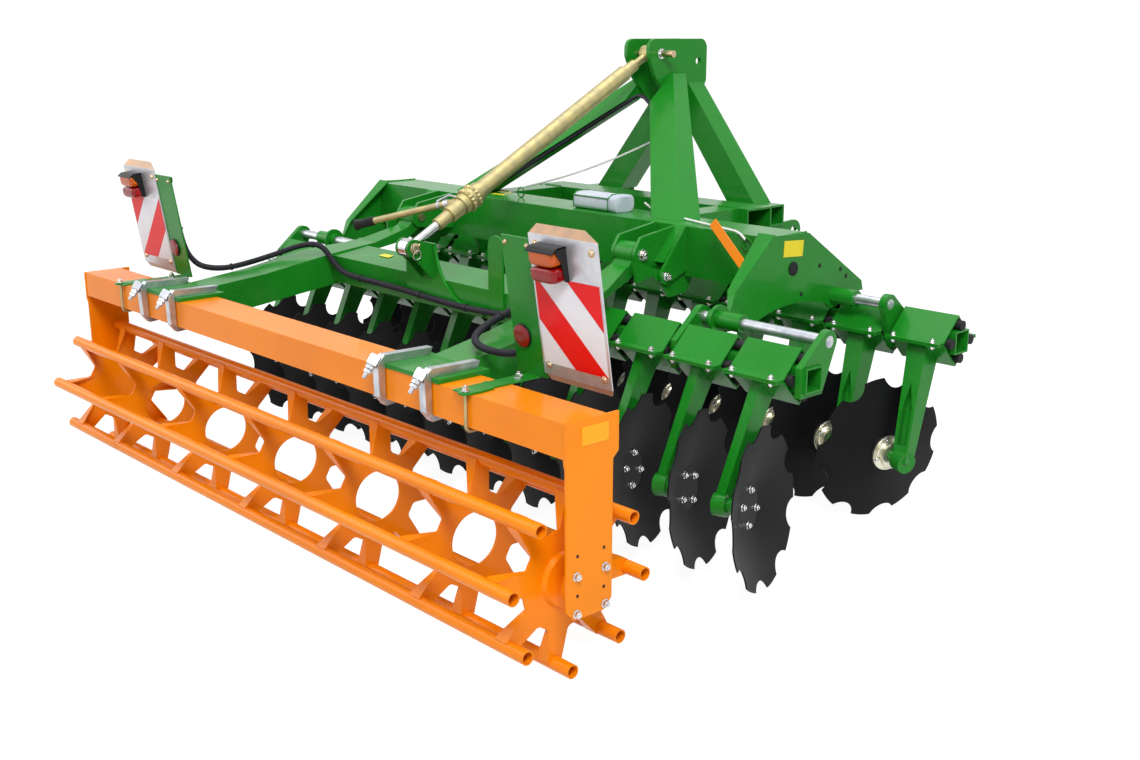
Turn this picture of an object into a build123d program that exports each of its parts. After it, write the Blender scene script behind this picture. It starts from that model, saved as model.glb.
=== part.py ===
from build123d import *
import os
from math import asin, cos, degrees, pi, radians, sin, tan

# Mounted compact disc harrow: two rows of notched discs on rubber-sprung arms, a tube cage
# roller held by a turnbuckle, a three-point headstock and two rear marker boards.
# All sizes are millimetres. Machine axes: X to the right, Y forward, Z up, from the middle
# of the roller's axis. The machine parks on its roller and front discs, a little nose-down.

os.makedirs("parts", exist_ok=True)

# Discs and their hubs
discs_per_row = 12
disc_pitch = 250
disc_radius = 255
disc_dish = 50
disc_thickness = 5
disc_flat_radius = 72
notch_count = 9
notch_centre_radius = 278
notch_radius = 56
toe_angle = 18.3
camber_angle = 4.5
flange_radius = 62
flange_thickness = 9
hub_radius = 42
hub_length = 24
hub_gap = 0.5
neck_radius = 23
arm_boss_radius = 37
arm_boss_length = 46
boss_from_rim = 135

# Disc rows: square tubes, clamps and rubber cords
tube_size = 80
tube_wall = 6
row_tube_z = 456
rear_row_y = 850
front_row_y = 1625
rear_first_x = 1452
front_first_x = 1515
clamp_length = 212
clamp_wall = 6
clamp_flange = 30
clamp_split = 0.5
cord_radius = 17
arm_lean = 205
arm_root_back = 30
arm_root_drop = 14
arm_root_depth = 92
arm_tip_depth = 50
rear_arm_root_width = 38
rear_arm_tip_width = 34
front_arm_root_width = 72
front_arm_tip_width = 54
arm_wall = 9
arm_pocket_depth = 26
arm_pocket_foot = 60
arm_pocket_spring = 190
arm_pocket_apex = 275
hub_height = 60
rear_boss_dx = -17
front_boss_dx = 55

# Side plates, slide shafts and lugs
side_plate_x = 1149
shaft_boss_inner = 24
side_plate_thickness = 12
shaft_radius = 19
shaft_clearance = 0.3
rear_shaft_y = 930
front_shaft_y = 1545
shaft_z = 560
shaft_boss_radius = 36
bush_radius = 30
shaft_boss_length = 135
rear_end_lug_x = 1577
rear_lug_gaps = (1, 9, 11)
front_lug_gaps = (0, 2, 9, 11)
lug_thickness = 24
lug_margin = 12
lug_drop = 14
shaft_boss_rim = 12
weld_gap = 0.3

# Main frame
cross_beam_rear_y = 1190
cross_beam_depth = 200
frame_top_z = 800
cross_beam_height = 180
frame_wall = 8
front_beam_y = 1700
front_beam_depth = 150
front_beam_height = 140
front_beam_half = 620
frame_web_x = 520
frame_web_width = 120
headstock_top_z = 1445
ear_half_gap = 55
ear_thickness = 18
top_link_y = 2000
top_link_z = 1353
top_link_bore_radius = 16.1
upper_pin_y = 1770
upper_pin_z = 1385
pin_radius = 14
pin_play = 0.15
pin_end = 10
upper_pin_grip = 72
hitch_box_x = 330
hitch_box_width = 210
hitch_box_depth = 180
hitch_box_z = 700
hitch_box_height = 85
lower_link_eye_radius = 45
lower_link_y = 2110
lower_link_z = 668
lower_link_x = 482.5
lower_link_gap = 70
lower_link_plate = 15
lower_link_bore_radius = 18.5

# Roller
bar_count = 8
bar_radius = 21
bar_wall = 4
bar_circle = 249
bar_end_short = 15
bar_phase = -8.2
star_positions = (0, 510, 1020)
end_star_x = 1420
star_thickness = 6
star_body_radius = 150
star_root_at = 100
star_root_width = 84
star_tip_width = 48
star_fold_start = 118
star_fold_full = 232
star_fold_depth = 46
star_fold_wall = 5
star_notch_radius = 18
star_hole_radius = 86
star_boss_radius = 84
star_boss_height = 14
star_boss_taper = 30
stub_radius = 20
stub_end_gap = 4
bearing_radius = 60
bearing_length = 36

# Roller frame
roller_beam_half = 1510
roller_beam_rear = -82
roller_beam_depth = 155
roller_beam_top = 486
roller_beam_height = 100
end_plate_thickness = 8
roller_arm_x = 810
arm_foot_length = 330
arm_foot_depth = 190
arm_foot_top = 500
arm_foot_y = 10
cross_member_wall = 8
clevis_half_gap = 26
clevis_plate = 12
clevis_back_y = 598
hook_spread = 118
hook_width = 30
pivot_eye_radius = 42
pivot_x = 660
pivot_y = 1015
pivot_z = 710
pivot_eye_width = 86
pivot_pin_radius = 16
pivot_plate_gap = 3
pivot_plate_thickness = 14
lower_eye_y = 520
lower_eye_z = 704
eye_drift = 4

# Marker boards
board_foot_y = 175
board_foot_z = 510
board_lean_angle = 8.5
board_width = 282
board_height = 423
board_thickness = 4
right_bracket_x = 1020
bracket_width = 132
bracket_thickness = 5
left_bracket_shift = 45
board_overlap = 4
bracket_foot_y = 45
bracket_foot_width = 60
bracket_foot_depth = 282
bracket_short = 20
bracket_below = 19.2
conduit_diameter = 24
conduit_gap = 0.3
gland_length = 30
gland_wall = 0.7
right_lamp_x = 1182
left_lamp_x = -1440
lamp_width = 130
lamp_height = 110
lamp_depth = 60
lamp_drop = 75
lamp_corner = 12

# Small fittings on the frame
document_box_x = 230
document_box_width = 250
document_box_depth = 110
document_box_height = 62
document_box_corner = 15
pointer_head = (950, 1120, 840)
pointer_foot = (1130, 1100, 690)
pointer_width = 34
pointer_thickness = 5

# Turnbuckle
sleeve_start = 95
sleeve_lower_gap = 150
screw_in_sleeve = 120
upper_screw_in = 30
collar_length = 65
screw_play = 0.4
collar_radius = 24
ratchet_from_eye = 330
ratchet_radius = 44
ratchet_width = 46
lever_radius = 13
lever_tip = (-470, 600, 730)
screw_radius = 16
sleeve_radius = 32.5
eye_radius = 34
eye_width = 46

# Parked stance: the roller's lowest bar and the front discs stand on one floor
disc_reach = disc_radius * cos(radians(camber_angle))
disc_hub_z = hub_height + boss_from_rim * sin(radians(camber_angle))
disc_centre_y = front_row_y - arm_lean + boss_from_rim * sin(radians(toe_angle)) * cos(radians(camber_angle))
bar_reach = bar_circle * cos(radians(360 / bar_count * 0.25)) + bar_radius
nose_down = degrees(asin((disc_hub_z - disc_reach + bar_reach) / disc_centre_y))
middle_x = 66
middle_y = 962

machine = Plane(
    origin=(-middle_x, -middle_y, bar_reach),
    x_dir=(1, 0, 0),
    z_dir=(0, sin(radians(nose_down)), cos(radians(nose_down))),
)


def spot(x, y, z):
    """Give the parked place of a point in machine axes."""
    return machine.from_local_coords((x, y, z))


def across(x):
    """Give the upright plane that crosses X, drawn forward and up."""
    return Plane(origin=spot(x, 0, 0), x_dir=machine.y_dir, z_dir=machine.x_dir)


def level(z):
    """Give the level plane at height Z, drawn right and forward."""
    return Plane(origin=spot(0, 0, z), x_dir=machine.x_dir, z_dir=machine.z_dir)


def seen_from_rear(y):
    """Give the upright plane at Y that faces the rear, drawn right and up."""
    return Plane(origin=spot(0, y, 0), x_dir=machine.x_dir, z_dir=-machine.y_dir)


def hub_plane(x, y, z, side):
    """Give the plane across a hub's axis at a point; side is 1 where the hub is right of its disc."""
    toe, camber = radians(toe_angle), radians(camber_angle)
    axis = (
        machine.x_dir * (side * cos(toe) * cos(camber))
        + machine.y_dir * (-sin(toe) * cos(camber))
        + machine.z_dir * -sin(camber)
    )
    return Plane(origin=spot(x, y, z), x_dir=machine.z_dir.cross(axis), z_dir=axis)


def keep(part, name):
    """Label a finished piece and write its STEP file."""
    part.label = name
    export_step(part, f"parts/{name}.step")


centre = across(0)

# One disc with its hub flange, about its own axis: rim plane at 0, hub on the hollow's back
with BuildPart() as disc_form:
    with BuildSketch(Plane.XZ):
        with BuildLine():
            Polyline(
                (0, disc_dish),
                (disc_flat_radius, disc_dish),
                (disc_radius, 0),
                (disc_radius, -disc_thickness),
                (disc_flat_radius, disc_dish - disc_thickness),
                (0, disc_dish - disc_thickness),
                close=True,
            )
        make_face()
    revolve(axis=Axis.Z)
    with BuildSketch(Plane.XY.offset(-2 * disc_thickness)):
        with PolarLocations(notch_centre_radius, notch_count):
            Circle(notch_radius)
    extrude(amount=disc_dish + 4 * disc_thickness, mode=Mode.SUBTRACT)
    with BuildSketch(Plane.XY.offset(disc_dish)):
        Circle(flange_radius)
    extrude(amount=flange_thickness)
    with BuildSketch(Plane.XY.offset(disc_dish + flange_thickness)):
        Circle(hub_radius)
    extrude(amount=hub_length)

hub_face = disc_dish + flange_thickness + hub_length + hub_gap
boss_start = boss_from_rim - arm_boss_length / 2

# Clamp shells: two folded angles round the tube, with a rubber cord in each of four corners
cord_offset = tube_size / 2 + cord_radius
shell_inner = cord_offset + cord_radius * 2**0.5
shell_outer = shell_inner + clamp_wall * 2**0.5
flange_reach = shell_outer + clamp_flange
trough_reach = shell_outer * 2**0.5 + 2 * weld_gap

# One folded shell in section, forward and up from the tube's centre: the roof over the tube
with BuildSketch() as roof_section:
    with BuildLine():
        Polyline(
            (-flange_reach, clamp_split),
            (-flange_reach, clamp_wall),
            (-shell_outer + clamp_wall, clamp_wall),
            (0, shell_outer),
            (shell_outer - clamp_wall, clamp_wall),
            (flange_reach, clamp_wall),
            (flange_reach, clamp_split),
            (shell_inner - clamp_split, clamp_split),
            (0, shell_inner),
            (-shell_inner + clamp_split, clamp_split),
            close=True,
        )
    make_face()

lug_reach = tube_size / 2 + lug_margin


def gap_lugs(first_x, gaps):
    """Give the X of the lugs that stand in the middle of gaps between clamps, counted from the first."""
    return tuple(first_x - (gap + 0.5) * disc_pitch - lug_thickness / 2 for gap in gaps)


rear_lugs = (rear_end_lug_x, *gap_lugs(rear_first_x, rear_lug_gaps))
front_lugs = gap_lugs(front_first_x, front_lug_gaps)
rear_arm_widths = (rear_arm_root_width, rear_arm_tip_width)
front_arm_widths = (front_arm_root_width, front_arm_tip_width)

rows = (
    # name, tube y, first clamp x, boss offset x, hub side, left and right tube ends, lug x, shaft y, arm widths
    ("rear", rear_row_y, rear_first_x, rear_boss_dx, -1, -1440, 1610, rear_lugs, rear_shaft_y, rear_arm_widths),
    ("front", front_row_y, front_first_x, front_boss_dx, 1, -1380, 1640, front_lugs, front_shaft_y, front_arm_widths),
)

for name, tube_y, first_x, boss_dx, side, left_end, right_end, lug_xs, shaft_y, arm_widths in rows:
    clamp_xs = [first_x - k * disc_pitch for k in range(discs_per_row)]
    boss_y = tube_y - arm_lean

    with BuildPart() as row_beam:
        with BuildSketch(across(left_end)):
            with Locations((tube_y, row_tube_z)):
                Rectangle(tube_size, tube_size)
                Rectangle(tube_size - 2 * tube_wall, tube_size - 2 * tube_wall, mode=Mode.SUBTRACT)
        extrude(amount=right_end - left_end)
        for lug_x in lug_xs:
            with BuildSketch(across(lug_x)):
                with BuildLine():
                    Polyline(
                        (tube_y - lug_reach, row_tube_z - tube_size / 2 - lug_drop),
                        (tube_y + lug_reach, row_tube_z - tube_size / 2 - lug_drop),
                        (tube_y + lug_reach, row_tube_z + tube_size / 2),
                        (tube_y - lug_reach, row_tube_z + tube_size / 2),
                        close=True,
                    )
                make_face()
                with Locations((shaft_y, shaft_z)):
                    Circle(shaft_boss_radius)
                make_hull()
                with Locations((tube_y, row_tube_z)):
                    Rectangle(tube_size + 2 * weld_gap, tube_size + 2 * weld_gap, mode=Mode.SUBTRACT)
                with Locations((shaft_y, shaft_z)):
                    Circle(shaft_radius, mode=Mode.SUBTRACT)
            extrude(amount=lug_thickness)
    keep(row_beam.part, f"{name}_row_beam")

    with BuildPart() as shafts:
        for inner_x, outer_x in ((lug_xs[1], lug_xs[0]), (lug_xs[3], lug_xs[2])):
            with BuildSketch(across(inner_x)):
                with Locations((shaft_y, shaft_z)):
                    Circle(shaft_radius)
            extrude(amount=outer_x + lug_thickness - inner_x)
    keep(shafts.part, f"{name}_shafts")

    with BuildPart() as cords:
        for right_x, left_x in zip((right_end, *lug_xs), (*lug_xs, left_end)):
            start = left_x + lug_thickness if left_x in lug_xs else left_x
            if right_x - start < 2 * cord_radius:
                continue
            with BuildSketch(across(start)):
                with Locations((tube_y, row_tube_z)):
                    with PolarLocations(cord_offset, 4):
                        Circle(cord_radius)
            extrude(amount=right_x - start)
    keep(cords.part, f"{name}_rubber_cords")

    # Arms lean back from the troughs to their hub bosses; the wide ones are channels, open to the rear
    root_width, tip_width = arm_widths
    root_y, root_z = tube_y - arm_root_back, row_tube_z - arm_root_drop
    with BuildPart() as arms:
        for clamp_x in clamp_xs:
            boss_x = clamp_x + boss_dx
            with BuildSketch(level(root_z)):
                with Locations((clamp_x, root_y)):
                    Rectangle(root_width, arm_root_depth)
            with BuildSketch(level(hub_height)):
                with Locations((boss_x, boss_y)):
                    Rectangle(tip_width, arm_tip_depth)
            loft(ruled=True)
            if tip_width > 4 * arm_wall:
                foot = spot(boss_x, boss_y - arm_tip_depth / 2, hub_height)
                rise = spot(clamp_x, root_y - arm_root_depth / 2, root_z) - foot
                pocket_half = tip_width / 2 - arm_wall
                slant = -boss_dx / rise.length
                spring_x = arm_pocket_spring * slant
                with BuildSketch(Plane(origin=foot, x_dir=machine.x_dir, z_dir=machine.x_dir.cross(rise))):
                    with BuildLine():
                        Polyline(
                            (spring_x + pocket_half, arm_pocket_spring),
                            (arm_pocket_foot * slant + pocket_half, arm_pocket_foot),
                            (arm_pocket_foot * slant - pocket_half, arm_pocket_foot),
                            (spring_x - pocket_half, arm_pocket_spring),
                            (arm_pocket_apex * slant, arm_pocket_apex),
                            close=True,
                        )
                    make_face()
                extrude(amount=-arm_pocket_depth, mode=Mode.SUBTRACT)
            with BuildSketch(across(clamp_x - clamp_length / 2)):
                with Locations((tube_y, row_tube_z)):
                    Rectangle(trough_reach, trough_reach, rotation=45)
            extrude(amount=clamp_length, mode=Mode.SUBTRACT)
            boss = hub_plane(boss_x, boss_y, hub_height, side)
            with BuildSketch(boss.offset(-arm_boss_length / 2)):
                Circle(arm_boss_radius)
            extrude(amount=arm_boss_length)
            with BuildSketch(boss.offset(hub_face - boss_from_rim)):
                Circle(neck_radius)
            extrude(amount=boss_start - hub_face)
        for clamp_x in clamp_xs:
            with BuildSketch(across(clamp_x - clamp_length / 2)):
                with Locations((tube_y, row_tube_z)):
                    add(roof_section.sketch)
                    add(roof_section.sketch, rotation=180)
            extrude(amount=clamp_length)
    keep(arms.part, f"{name}_arms")

    for k, clamp_x in enumerate(clamp_xs):
        rim = hub_plane(clamp_x + boss_dx, boss_y, hub_height, side).offset(-boss_from_rim)
        with BuildPart() as disc:
            with Locations(rim.location):
                add(disc_form.part)
        keep(disc.part, f"{name}_disc_{k + 1:02d}")

side_plate_outline = (
    # forward and up, from the arch's rear end round the top to its front end
    (1085, 512),
    (960, 512),
    (1008, 637),
    (1200, 807),
    (1386, frame_top_z),
    (1712, 592),
    (1722, 556),
    (1575, 556),
    (1530, 530),
    (1515, 530),
)
side_plate_arch_top = (1330, 560)

# Side plates: deep cheeks that arch over the disc rows, each with two bushes for the slide shafts
with BuildPart() as side_plates:
    with BuildSketch(across(side_plate_x)):
        with BuildLine():
            Polyline(*side_plate_outline)
            ThreePointArc(side_plate_outline[-1], side_plate_arch_top, side_plate_outline[0])
        make_face()
        with Locations((rear_shaft_y, shaft_z), (front_shaft_y, shaft_z)):
            Circle(shaft_boss_radius + shaft_boss_rim)
    extrude(amount=side_plate_thickness)
    with BuildSketch(across(side_plate_x - shaft_boss_inner)):
        with Locations((rear_shaft_y, shaft_z), (front_shaft_y, shaft_z)):
            Circle(bush_radius)
    extrude(amount=shaft_boss_length)
    with BuildSketch(across(side_plate_x - shaft_boss_inner)):
        with Locations((rear_shaft_y, shaft_z), (front_shaft_y, shaft_z)):
            Circle(shaft_radius + shaft_clearance)
    extrude(amount=shaft_boss_length, mode=Mode.SUBTRACT)
    mirror(about=centre)
keep(side_plates.part, "side_plates")

# Main cross beam between the side plates
with BuildPart() as cross_beam:
    with BuildSketch(across(-side_plate_x)):
        with Locations((cross_beam_rear_y + cross_beam_depth / 2, frame_top_z - cross_beam_height / 2)):
            Rectangle(cross_beam_depth, cross_beam_height)
        offset(amount=-frame_wall, mode=Mode.SUBTRACT)
    extrude(amount=2 * side_plate_x)
keep(cross_beam.part, "cross_beam")

# Front beam under the headstock, with the two box webs that tie it to the cross beam
front_beam_z = frame_top_z - front_beam_height / 2
web_length = front_beam_y - cross_beam_rear_y - cross_beam_depth - weld_gap
with BuildPart() as front_frame:
    with BuildSketch(across(-front_beam_half)):
        with Locations((front_beam_y + front_beam_depth / 2, front_beam_z)):
            Rectangle(front_beam_depth, front_beam_height)
        offset(amount=-frame_wall, mode=Mode.SUBTRACT)
    extrude(amount=2 * front_beam_half)
    with BuildSketch(seen_from_rear(cross_beam_rear_y + cross_beam_depth)):
        with Locations((frame_web_x, front_beam_z), (-frame_web_x, front_beam_z)):
            Rectangle(frame_web_width, front_beam_height)
        offset(amount=-frame_wall, mode=Mode.SUBTRACT)
    extrude(amount=-web_length)
keep(front_frame.part, "front_frame")

ear_outline = (
    (1700, 1375),
    (1700, headstock_top_z),
    (2052, headstock_top_z),
    (2052, 1268),
    (1965, 1170),
    (1850, 1170),
    (1740, 1290),
)
ear_corner = 38

# Headstock: two ears that hold the top link in front and the turnbuckle behind
with BuildPart() as headstock_ears:
    with BuildSketch(across(ear_half_gap)) as ear_face:
        with BuildLine():
            Polyline(*ear_outline, close=True)
        make_face()
        fillet(ear_face.vertices(), ear_corner)
        with Locations((top_link_y, top_link_z)):
            Circle(top_link_bore_radius, mode=Mode.SUBTRACT)
        with Locations((upper_pin_y, upper_pin_z)):
            Circle(pin_radius + pin_play, mode=Mode.SUBTRACT)
    extrude(amount=ear_thickness)
    mirror(about=centre)
keep(headstock_ears.part, "headstock_ears")

ear_face_x = ear_half_gap + ear_thickness
# Headstock struts: leaning boxes from the ears to the beams, cut square to the ears' faces
strut_table = (
    # foot x, foot y, foot z, top x, top y, top z, foot width, foot depth, top width, top depth
    (592, 1318, frame_top_z, 15, 1872, 1305, 145, 115, 140, 78),
    (392, 1980, 785, -8, 1985, 1280, 150, 105, 140, 95),
)
strut_trim_middle = (1650, 1100)
strut_trim_size = (1000, 640)
with BuildPart() as struts:
    for foot_x, foot_y, foot_z, top_x, top_y, top_z, foot_w, foot_d, top_w, top_d in strut_table:
        with BuildSketch(level(foot_z)):
            with Locations((foot_x, foot_y)):
                Rectangle(foot_w, foot_d)
        with BuildSketch(level(top_z)):
            with Locations((top_x, top_y)):
                Rectangle(top_w, top_d)
        loft(ruled=True)
    with BuildSketch(across(-2 * ear_face_x)):
        with Locations(strut_trim_middle):
            Rectangle(*strut_trim_size)
    extrude(amount=3 * ear_face_x, mode=Mode.SUBTRACT)
    mirror(about=centre)
keep(struts.part, "headstock_struts")

# Hitch: a box under each front leg and a pair of plates for each lower link
hitch_inner_x = lower_link_x - lower_link_gap / 2 - lower_link_plate
hitch_outer_x = lower_link_x + lower_link_gap / 2
hitch_plate_outline = ((1880, 620), (1880, hitch_box_z), (2030, hitch_box_z), (2090, 630))
hitch_box_middle_y = front_beam_y + front_beam_depth + hitch_box_depth / 2
with BuildPart() as hitch:
    with BuildSketch(across(hitch_box_x)):
        with Locations((hitch_box_middle_y, hitch_box_z + hitch_box_height / 2)):
            Rectangle(hitch_box_depth, hitch_box_height)
            Rectangle(hitch_box_depth - 2 * frame_wall, hitch_box_height - 2 * frame_wall, mode=Mode.SUBTRACT)
    extrude(amount=hitch_box_width)
    for plate_x in (hitch_inner_x, hitch_outer_x):
        with BuildSketch(across(plate_x)):
            with BuildLine():
                Polyline(*hitch_plate_outline, close=True)
            make_face()
            with Locations((lower_link_y, lower_link_z)):
                Circle(lower_link_eye_radius)
            make_hull()
            with Locations((lower_link_y, lower_link_z)):
                Circle(lower_link_bore_radius, mode=Mode.SUBTRACT)
            with Locations((hitch_box_middle_y, hitch_box_z + hitch_box_height / 2)):
                Rectangle(hitch_box_depth + 2 * weld_gap, hitch_box_height + 2 * weld_gap, mode=Mode.SUBTRACT)
        extrude(amount=lower_link_plate)
    mirror(about=centre)
keep(hitch.part, "hitch_brackets")

# Pivot ears behind the cross beam, with the pins that the roller arms swing on
pivot_inner = pivot_eye_width / 2 + pivot_plate_gap
pivot_pin_half = pivot_inner + pivot_plate_thickness + pin_end
stop_x = pivot_x + pivot_inner + pivot_plate_thickness
stop_width = 38
stop_plate = 12
stop_cover = 8
stop_lobe = (1085, 632)
stop_lobe_radius = 30
stop_hole_radius = 9
hook_plate_x = stop_x + stop_width - pivot_plate_gap - pivot_plate_thickness
# Locking plate under the beam, forward and up, from its rear top corner round its lower edge
hook_plate_outline = (
    (940, 700),
    (950, 620),
    (1030, 637),
    (1080, 592),
    (1112, 548),
    (1205, 556),
    (1244, frame_top_z - cross_beam_height - weld_gap),
    (1165, frame_top_z - cross_beam_height - weld_gap),
)
hook_plate_corner = 14
with BuildPart() as pivot_ears:
    # Two lugs for each arm, from the beam's rear face to the pivot pin
    for plate_x in (pivot_x - pivot_inner - pivot_plate_thickness, pivot_x + pivot_inner):
        with BuildSketch(across(plate_x)):
            with BuildLine():
                Polyline((cross_beam_rear_y, 650), (cross_beam_rear_y, frame_top_z), (1005, 772), close=True)
            make_face()
            with Locations((pivot_y, pivot_z)):
                Circle(pivot_eye_radius)
            make_hull()
            with Locations((pivot_y, pivot_z)):
                Circle(pivot_pin_radius + pin_play, mode=Mode.SUBTRACT)
        extrude(amount=pivot_plate_thickness)
    # Stop bracket beside the outer lug: a plate with a round lobe and a sloped cover that ties it to the lug
    with BuildSketch(across(stop_x + stop_width)):
        with BuildLine():
            Polyline((cross_beam_rear_y, 640), (cross_beam_rear_y, frame_top_z), (1180, frame_top_z), close=True)
        make_face()
        with Locations(stop_lobe):
            Circle(stop_lobe_radius)
        make_hull()
        with Locations(stop_lobe):
            Circle(stop_hole_radius, mode=Mode.SUBTRACT)
    extrude(amount=stop_plate)
    with BuildSketch(across(stop_x)):
        with BuildLine():
            Polyline(
                (cross_beam_rear_y, frame_top_z),
                (1180, frame_top_z),
                (1075, 680),
                (1075 + stop_cover, 680),
                (cross_beam_rear_y, frame_top_z - 2 * stop_cover),
                close=True,
            )
        make_face()
    extrude(amount=stop_width)
    with BuildSketch(across(hook_plate_x)) as hook_plate_face:
        with BuildLine():
            Polyline(*hook_plate_outline, close=True)
        make_face()
        fillet(hook_plate_face.vertices().sort_by(Axis.Y)[:4], hook_plate_corner)
    extrude(amount=pivot_plate_thickness)
    mirror(about=centre)
keep(pivot_ears.part, "pivot_ears")

with BuildPart() as frame_pins:
    with BuildSketch(across(pivot_x - pivot_pin_half)):
        with Locations((pivot_y, pivot_z)):
            Circle(pivot_pin_radius)
    extrude(amount=2 * pivot_pin_half)
    mirror(about=centre)
    with BuildSketch(across(-ear_face_x - pin_end)):
        with Locations((upper_pin_y, upper_pin_z)):
            Circle(pin_radius)
    extrude(amount=2 * ear_face_x + pin_end + upper_pin_grip)
keep(frame_pins.part, "frame_pins")

# Document box on the cross beam and the working-depth pointer on its right end
with BuildPart() as document_box:
    with BuildSketch(level(frame_top_z)):
        with Locations((document_box_x, cross_beam_rear_y + cross_beam_depth / 2)):
            RectangleRounded(document_box_width, document_box_depth, document_box_corner)
    extrude(amount=document_box_height)
keep(document_box.part, "document_box")

pointer_dir = spot(*pointer_foot) - spot(*pointer_head)
with BuildPart() as pointer:
    with BuildSketch(Plane(origin=spot(*pointer_head), x_dir=machine.x_dir, z_dir=pointer_dir)):
        Rectangle(pointer_width, pointer_thickness)
    extrude(amount=pointer_dir.length * 2)
    with BuildSketch(across(side_plate_x - weld_gap)):
        with Locations((pointer_foot[1], pointer_foot[2])):
            Rectangle(cross_beam_depth, cross_beam_depth * 2)
    extrude(amount=pointer_dir.length, mode=Mode.SUBTRACT)
keep(pointer.part, "depth_pointer")

# Roller cage: eight bars on pressed stars, with closed stars and stub shafts at the ends
bar_half_length = roller_beam_half - bar_end_short
with BuildPart() as roller_bars:
    with BuildSketch(across(-bar_half_length)):
        with PolarLocations(bar_circle, bar_count, start_angle=bar_phase):
            Circle(bar_radius)
            Circle(bar_radius - bar_wall, mode=Mode.SUBTRACT)
    extrude(amount=2 * bar_half_length)
keep(roller_bars.part, "roller_bars")



def arm_trapezoid(root_width, tip_width):
    """Give one star arm's corners along its own radius, from the root to the bar's centre line."""
    return (
        (star_root_at, -root_width / 2),
        (bar_circle, -tip_width / 2),
        (bar_circle, tip_width / 2),
        (star_root_at, root_width / 2),
    )


with BuildSketch() as star_arm:
    with BuildLine():
        Polyline(*arm_trapezoid(star_root_width, star_tip_width), close=True)
    make_face()

with BuildSketch() as star_outline:
    Circle(star_body_radius)
    with PolarLocations(0, bar_count, start_angle=bar_phase):
        add(star_arm.sketch)
    fillet(star_outline.vertices().group_by(lambda v: round(v.center().length))[0], star_notch_radius)
    with PolarLocations(bar_circle, bar_count, start_angle=bar_phase):
        Circle(bar_radius, mode=Mode.SUBTRACT)

# The folded walls along one arm's edges: nothing at the root, full depth where they cup the bar
with BuildPart() as arm_walls:
    with BuildSketch():
        add(star_arm.sketch)
        with BuildLine():
            Polyline(
                *arm_trapezoid(star_root_width - 2 * star_fold_wall, star_tip_width - 2 * star_fold_wall),
                close=True,
            )
        make_face(mode=Mode.SUBTRACT)
        with Locations((bar_circle, 0)):
            Circle(bar_radius, mode=Mode.SUBTRACT)
    extrude(amount=-star_fold_depth)
    with BuildSketch(Plane.XZ.offset(-star_root_width)):
        with BuildLine():
            Polyline(
                (star_root_at, -2 * star_fold_depth),
                (star_root_at, -star_thickness / 2),
                (star_fold_start, -star_thickness / 2),
                (star_fold_full, -star_fold_depth),
                (star_fold_full, -2 * star_fold_depth),
                close=True,
            )
        make_face()
    extrude(amount=2 * star_root_width, mode=Mode.SUBTRACT)

with BuildPart() as star_form:
    with BuildSketch():
        add(star_outline.sketch)
    extrude(amount=-star_thickness)
    with PolarLocations(0, bar_count, start_angle=bar_phase):
        add(arm_walls.part)

with BuildPart() as open_star:
    add(star_form.part)
    with BuildSketch():
        Circle(star_hole_radius)
    extrude(amount=-star_thickness, mode=Mode.SUBTRACT)

# Closed star with a pressed ring and the stub that turns in the bearing
with BuildPart() as end_star:
    add(star_form.part)
    with BuildSketch():
        Circle(star_boss_radius)
    extrude(amount=star_boss_height, taper=star_boss_taper)
    with BuildSketch():
        Circle(stub_radius)
    extrude(amount=roller_beam_half - stub_end_gap - end_star_x)

with BuildPart() as roller_stars:
    for star_x in (*star_positions, *(-x for x in star_positions if x)):
        with Locations(across(star_x + star_thickness / 2).location):
            add(open_star.part)
    with Locations(across(end_star_x).location):
        add(end_star.part)
    left_end = Plane(origin=spot(-end_star_x, 0, 0), x_dir=machine.y_dir, z_dir=-machine.x_dir)
    with Locations(left_end.location):
        add(end_star.part.mirror(Plane.XZ))
keep(roller_stars.part, "roller_stars")

# Roller frame: beam, end plates with the bearings, two arms and the folded cross member
with BuildPart() as roller_beam:
    with BuildSketch(across(-roller_beam_half)):
        with Locations((roller_beam_rear + roller_beam_depth / 2, roller_beam_top - roller_beam_height / 2)):
            Rectangle(roller_beam_depth, roller_beam_height)
        offset(amount=-frame_wall, mode=Mode.SUBTRACT)
    extrude(amount=2 * roller_beam_half)
keep(roller_beam.part, "roller_beam")

end_plate_outline = (
    (-85, roller_beam_top),
    (113, roller_beam_top),
    (113, 375),
    (92, 355),
    (90, -50),
    (60, -80),
    (-50, -80),
    (-80, -50),
    (-80, 355),
    (-85, 375),
)
with BuildPart() as end_plates:
    with BuildSketch(across(roller_beam_half)):
        with BuildLine():
            Polyline(*end_plate_outline, close=True)
        make_face()
    extrude(amount=end_plate_thickness)
    with BuildSketch(across(roller_beam_half - bearing_length)):
        Circle(bearing_radius)
        Circle(stub_radius + shaft_clearance, mode=Mode.SUBTRACT)
    extrude(amount=bearing_length)
    mirror(about=centre)
keep(end_plates.part, "roller_end_plates")

# Side view of a roller arm, forward and up: foot, straight top, pivot neck, fish-belly underside
roller_arm_outline = (
    (60, arm_foot_top),
    (75, 506),
    (324, 538),
    (614, 593),
    (806, 621),
    (960, 672),
    (1000, pivot_z),
    (1030, 690),
    (1030, 672),
    (950, 620),
    (720, 575),
    (668, 474),
    (244, 406),
    (140, 440),
    (105, roller_beam_top),
    (60, roller_beam_top),
)
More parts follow.
